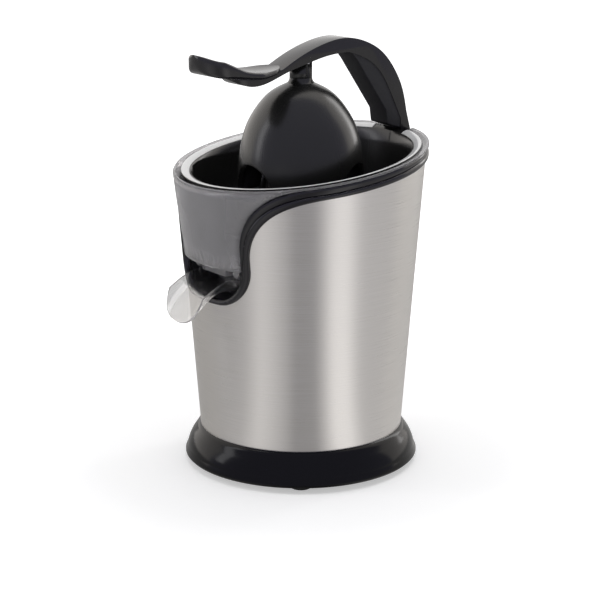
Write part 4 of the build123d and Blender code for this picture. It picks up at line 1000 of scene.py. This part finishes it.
class PRESS_OT_dome(bpy.types.Operator):
    """Pressing dome with arches in its skirt, and its stem"""
    bl_idname = "press.dome"
    bl_label = "Pressing dome"

    def execute(self, context):
        s = context.scene.press_lever
        side = spline(profile(DOME_SHARES, s.dome_radius, s.dome_foot, s.dome_rise), DOME_STEPS)
        half_turn = asin(s.arch_radius / s.dome_radius)
        gap = 2 * pi / s.arches - 2 * half_turn
        turns = []
        for middle in [2 * pi * arch / s.arches for arch in range(s.arches)]:
            turns += [middle + half_turn * sin(pi / 2 * i / ARCH_STEPS)
                      for i in range(-ARCH_STEPS, ARCH_STEPS + 1)]
            turns += [middle + half_turn + gap * i / SKIRT_STEPS for i in range(SKIRT_STEPS)]
        columns = []
        for turn in turns:
            run = self.even_run(s, side, half_turn, turn)
            columns.append([Vector((p.x * sin(turn), -p.x * cos(turn), p.y)) for p in run])
        mesh = finished(grid_mesh("dome", zip(*columns)), wall(s.dome_wall), bevel(DOME_EDGE, 3, 50))
        add_piece("pressing_dome", mesh, "gloss_black", "press_bell", "gloss_black", "press_dome")
        self.stem(s)
        return {"FINISHED"}

    def even_run(self, s, side, half_turn, turn):
        """Even steps up the dome's side at a turn, from its lower edge or from the arch there."""
        off = min(abs((turn - 2 * pi * k / s.arches + pi) % (2 * pi) - pi) for k in range(s.arches))
        across = s.dome_radius * sin(off) if off < pi / 2 else s.dome_radius
        low = s.dome_foot
        if across < s.arch_radius * ARCH_INSIDE and off < half_turn * ARCH_INSIDE:
            low = s.arch_top - s.arch_radius + sqrt(s.arch_radius**2 - across**2)
        first = next(i for i, p in enumerate(side) if p.y >= low - EXACT)
        start = side[0]
        if first:
            a, b = side[first - 1], side[first]
            start = a.lerp(b, (low - a.y) / (b.y - a.y))
        run = [start] + [p for p in side[first:] if p.y > start.y + MERGE]
        steps = run_lengths(run)
        found = []
        for want in [steps[-1] * k / DOME_ROWS for k in range(DOME_ROWS + 1)]:
            i = min(max(j for j, step in enumerate(steps) if step <= want + TINY), len(run) - 2)
            found.append(run[i].lerp(run[i + 1], (want - steps[i]) / (steps[i + 1] - steps[i])))
        return found

    def stem(self, s):
        """Round stem with a small flare where it meets the dome."""
        seat = s.dome_foot + s.dome_rise
        flare = profile(FLARE_SHARES, s.stem_radius, seat, s.stem_radius)
        inside = [Vector((s.stem_radius * FLARE_INSIDE, p.y)) for p in (flare[-1], flare[0])]
        ring = grid_mesh("flare", lathe_rows(spline(flare, BELL_STEPS) + inside, STEM_SIDES), wrap_rows=True)
        stem = cad_copy("dome_stem", "stem")
        for vertex in stem.vertices:
            if vertex.co.z > seat - NEAR and vertex.co.xy.length > s.stem_radius * STEM_SKIN:
                vertex.co.xy *= s.stem_swell
        add_piece("dome_neck", tidy_mesh(mesh_of(stem, ring), "dome_neck"), "gloss_black", "press_bell",
                  "gloss_black", "dome_stem")


class PRESS_OT_lever(bpy.types.Operator):
    """Curved lever arm with its web and grip"""
    bl_idname = "press.lever"
    bl_label = "Lever"

    def execute(self, context):
        s = context.scene.press_lever

        def at(shares):
            return [Vector((s.pivot_y - y * s.reach, s.pivot_z + z * s.rise)) for y, z in shares]

        under, tongue = spline(at(ARM_UNDER_SHARES)), at(TONGUE_SHARES)
        outline = spline(at(ARM_TOP_SHARES)) + arc(s.pivot_y, s.pivot_z, s.knuckle, -pi)
        outline += under[::-1] + spline(at(ARM_BELLY_SHARES), BELLY_STEPS)[1:] + tongue
        arm = self.rounded_tongue(s, prism_mesh("arm", outline, s.half_width), tongue[0].x)
        add_piece("lever_strip", finished(arm, bevel(s.edge, 4, 50)), "lever_black", "lever", "gloss_black",
                  "lever_arm", smooth=30)
        hollow = at([WEB_HOLLOW])[0]
        outline = [p + (p - hollow).normalized() * s.web_root for p in under] + at(WEB_SHARES)
        web = finished(prism_mesh("web", outline, s.web_half_width), bevel(WEB_EDGE, 4, 50))
        add_piece("lever_web", web, "satin_black", "lever", "satin_black", "arm_web", smooth=30)
        self.grip(s, *[spline(at(shares), GRIP_STEPS) for shares in (GRIP_TOP_SHARES, GRIP_UNDER_SHARES)])
        return {"FINISHED"}

    def rounded_tongue(self, s, mesh, tip):
        """The arm with the tongue's end made round in plan."""
        built = mesh_of(mesh)
        for i in range(1, TONGUE_STEPS + 1):
            place = tip + s.tongue_round * (1 - cos(pi / 2 * i / TONGUE_STEPS))
            bmesh.ops.bisect_plane(built, geom=[*built.verts, *built.edges, *built.faces],
                                   plane_co=(0, place, 0), plane_no=(0, 1, 0))
        for vertex in built.verts:
            left = min(1.0, (vertex.co.y - tip) / s.tongue_round)
            vertex.co.x *= max(TONGUE_LEAST, sqrt(max(0.0, 1 - (1 - left) ** 2)))
        return tidy_mesh(built, "arm")

    def grip(self, s, top, under):
        """Grip: a curved paddle, dished on top, round in plan and thicker towards its lifted tip."""
        root, tip = top[0].x, top[-1].x
        full, root_round = root + GRIP_FULL * (tip - root), s.root_half_width * GRIP_ROOT
        nose = tip + s.grip_half_width * GRIP_NOSE
        rows = []
        for a in [pi * i / GRIP_ROWS for i in range(GRIP_ROWS + 1)]:
            y = (root + tip) / 2 + (root - tip) / 2 * GRIP_ENDS * cos(a)
            high, low = level_at(top, y), level_at(under, y)
            grow = min(1.0, (y - root) / (full - root))
            width = s.root_half_width + (s.grip_half_width - s.root_half_width) * grow
            if y < nose:
                width *= sqrt(1 - ((nose - y) / (nose - tip)) ** 2)
            if y > root - root_round:
                width *= sqrt(1 - ((y - root) / root_round + 1) ** 2)
            soft = min(s.grip_edge, (high - low) * GRIP_THIN, width * GRIP_NARROW)
            dish = s.grip_dish * sin(a)
            crown = s.grip_crown * max(0.0, 1 - (y - tip) / s.grip_half_width / GRIP_CROWN)
            row = []
            for x, z in rounded_box(width, low, high, soft):
                drop = dish * (1 - (x / width) ** 2) + crown * (x / s.grip_half_width) ** 2
                row.append(Vector((x, y, z - drop if z > (high + low) / 2 else z)))
            rows.append(row)
        mesh = closed(grid_mesh("grip", rows), "grip")
        add_piece("grip", mesh, "lever_black", "lever", "gloss_black", "grip_paddle", smooth=50)


class PRESS_OT_stage(bpy.types.Operator):
    """Pale floor, soft studio light and the camera"""
    bl_idname = "press.stage"
    bl_label = "Stage"

    def execute(self, context):
        scene = context.scene
        scene.view_settings.view_transform = "Standard"
        self.floor(scene.press_stage, scene.press_finishes.floor)
        self.world(scene, scene.press_stage)
        self.lamps()
        self.camera(scene, scene.press_stage)
        return {"FINISHED"}

    def floor(self, s, base):
        """Floor that keeps the shadow and looks white; gloss sees grey and white cards on it."""
        built = bmesh.new()
        bmesh.ops.create_grid(built, x_segments=1, y_segments=1, size=s.floor_size / 2)
        floor = placed("floor", tidy_mesh(built, "floor"))
        material = bpy.data.materials.new("pale_floor")
        add = adder(empty_tree(material))
        place = add("ShaderNodeTexCoord").outputs["Object"]
        far = add("ShaderNodeVectorMath", place, operation="LENGTH").outputs["Value"]
        level = add("ShaderNodeMapRange", far, GLOW_NEAR, GLOW_FAR, s.floor_glow, s.far_glow)
        matt = add("ShaderNodeBsdfDiffuse", Color=(*base, 1.0))
        lit = add("ShaderNodeAddShader", matt, add("ShaderNodeEmission", Color=(*WHITE, 1.0), Strength=level))
        cards = add("ShaderNodeEmission", Color=self.cards(add, place), Strength=1.0)
        add("ShaderNodeOutputMaterial", self.by_ray(add, matt, lit, cards))
        floor.data.materials.append(material)

    def world(self, scene, s):
        """Pale room: soft fill light, white for the camera, dark near and bright far sides for gloss."""
        scene.world = bpy.data.worlds.new("studio")
        add = adder(empty_tree(scene.world))
        way = add("ShaderNodeTexCoord").outputs["Generated"]
        fill, white, near, far, window = [
            add("ShaderNodeBackground", Color=(*tone, 1.0), Strength=level) for tone, level in (
                (WHITE, s.fill), (WHITE, 1.0), (NEAR_TONE, s.near_room), (FAR_TONE, s.far_room),
                (WINDOW_TONE, s.window))]
        room = add("ShaderNodeMixShader", self.facing(add, way, *ROOM_CHANGE), near, far)
        whole = add("ShaderNodeMixShader", self.facing(add, way, *WINDOW_CHANGE), room, window)
        add("ShaderNodeOutputWorld", self.by_ray(add, fill, white, whole))

    def by_ray(self, add, plain, seen, gloss):
        """One shader for the camera and what looks through clear plastic, one for gloss, one for the rest."""
        path = add("ShaderNodeLightPath").outputs
        looks = add("ShaderNodeMath", path["Is Camera Ray"], path["Is Transmission Ray"], operation="MAXIMUM")
        sight = add("ShaderNodeMixShader", looks, plain, seen)
        return add("ShaderNodeMixShader", path["Is Glossy Ray"], sight, gloss)

    def facing(self, add, way, rise, low, high):
        """A share that grows from 0 to 1 towards a direction behind the press that looks up."""
        aim = Vector((-CAMERA_SIDE[0], -CAMERA_SIDE[1], 0.0)).normalized() * cos(radians(rise))
        dot = add("ShaderNodeVectorMath", way, (aim.x, aim.y, sin(radians(rise))), operation="DOT_PRODUCT")
        return add("ShaderNodeMapRange", dot.outputs["Value"], low, high, interpolation_type="SMOOTHSTEP")

    def cards(self, add, place):
        """Brightness by direction round the press, as of pale walls with grey and white cards."""
        turned = add("ShaderNodeMapping", place, Rotation=(0.0, 0.0, radians(CARD_TURN)))
        around = add("ShaderNodeTexGradient", turned, gradient_type="RADIAL").outputs["Fac"]
        ramp = add("ShaderNodeValToRGB", around)
        marks = ramp.color_ramp.elements
        while len(marks) > 1:
            marks.remove(marks[-1])
        for i, (angle, level) in enumerate(CARD_LEVELS):
            where = 0.5 + angle / 360
            mark = marks.new(where) if i else marks[0]
            mark.position, mark.color = where, (*[level * tone for tone in CARD_TONE], 1.0)
        return ramp

    def lamps(self):
        """Soft boxes: a wide one overhead, which gloss does not show, and tall strips at left and rear."""
        for name, (place, aim, width, height, power) in LAMPS.items():
            lamp = bpy.data.lights.new(name, "AREA")
            lamp.shape, lamp.size, lamp.size_y, lamp.energy = "RECTANGLE", width, height, power
            holder = placed(name, lamp)
            holder.location = place
            holder.rotation_euler = (Vector(aim) - Vector(place)).to_track_quat("-Z", "Y").to_euler()
            holder.visible_glossy = name != "overhead"

    def camera(self, scene, s):
        """Camera at the photograph's angle."""
        view = bpy.data.cameras.new("camera")
        view.sensor_width, view.lens = 36.0, s.lens
        view.shift_x, view.shift_y = s.shift_x, s.shift_y
        holder = placed("camera", view)
        back = Vector(CAMERA_SIDE).normalized()
        holder.location = Vector((0, 0, s.target_z)) + back * s.distance
        holder.rotation_euler = (-back).to_track_quat("-Z", "Y").to_euler()
        scene.camera = holder


OPERATORS = (PRESS_OT_finishes, PRESS_OT_steel_body, PRESS_OT_trim, PRESS_OT_base, PRESS_OT_feet,
             PRESS_OT_bowls, PRESS_OT_spout, PRESS_OT_reamer, PRESS_OT_dome, PRESS_OT_lever, PRESS_OT_stage)
GROUPS = {"press_body": BodySizes, "press_lever": LeverSizes, "press_spout": SpoutSizes,
          "press_small": SmallSizes, "press_finishes": Finishes, "press_stage": StageSizes}


class PRESS_PT_panel(bpy.types.Panel):
    """Lists the pieces of the press"""
    bl_idname = "PRESS_PT_panel"
    bl_label = "Lever citrus press"
    bl_space_type = "VIEW_3D"
    bl_region_type = "UI"
    bl_category = "Press"

    def draw(self, context):
        for operator in OPERATORS:
            self.layout.operator(operator.bl_idname)


def register():
    for group in GROUPS.values():
        bpy.utils.register_class(group)
    for name, group in GROUPS.items():
        setattr(bpy.types.Scene, name, PointerProperty(type=group))
    for operator in OPERATORS:
        bpy.utils.register_class(operator)
    bpy.utils.register_class(PRESS_PT_panel)


def unregister():
    bpy.utils.unregister_class(PRESS_PT_panel)
    for operator in reversed(OPERATORS):
        bpy.utils.unregister_class(operator)
    for name, group in GROUPS.items():
        delattr(bpy.types.Scene, name)
        bpy.utils.unregister_class(group)


def main():
    register()
    bpy.ops.press.finishes()
    bpy.ops.press.steel_body()
    bpy.ops.press.trim()
    bpy.ops.press.base()
    bpy.ops.press.feet()
    bpy.ops.press.bowls()
    bpy.ops.press.spout()
    bpy.ops.press.reamer()
    bpy.ops.press.dome()
    bpy.ops.press.lever()
    bpy.ops.press.stage()


if __name__ == "__main__":
    main()
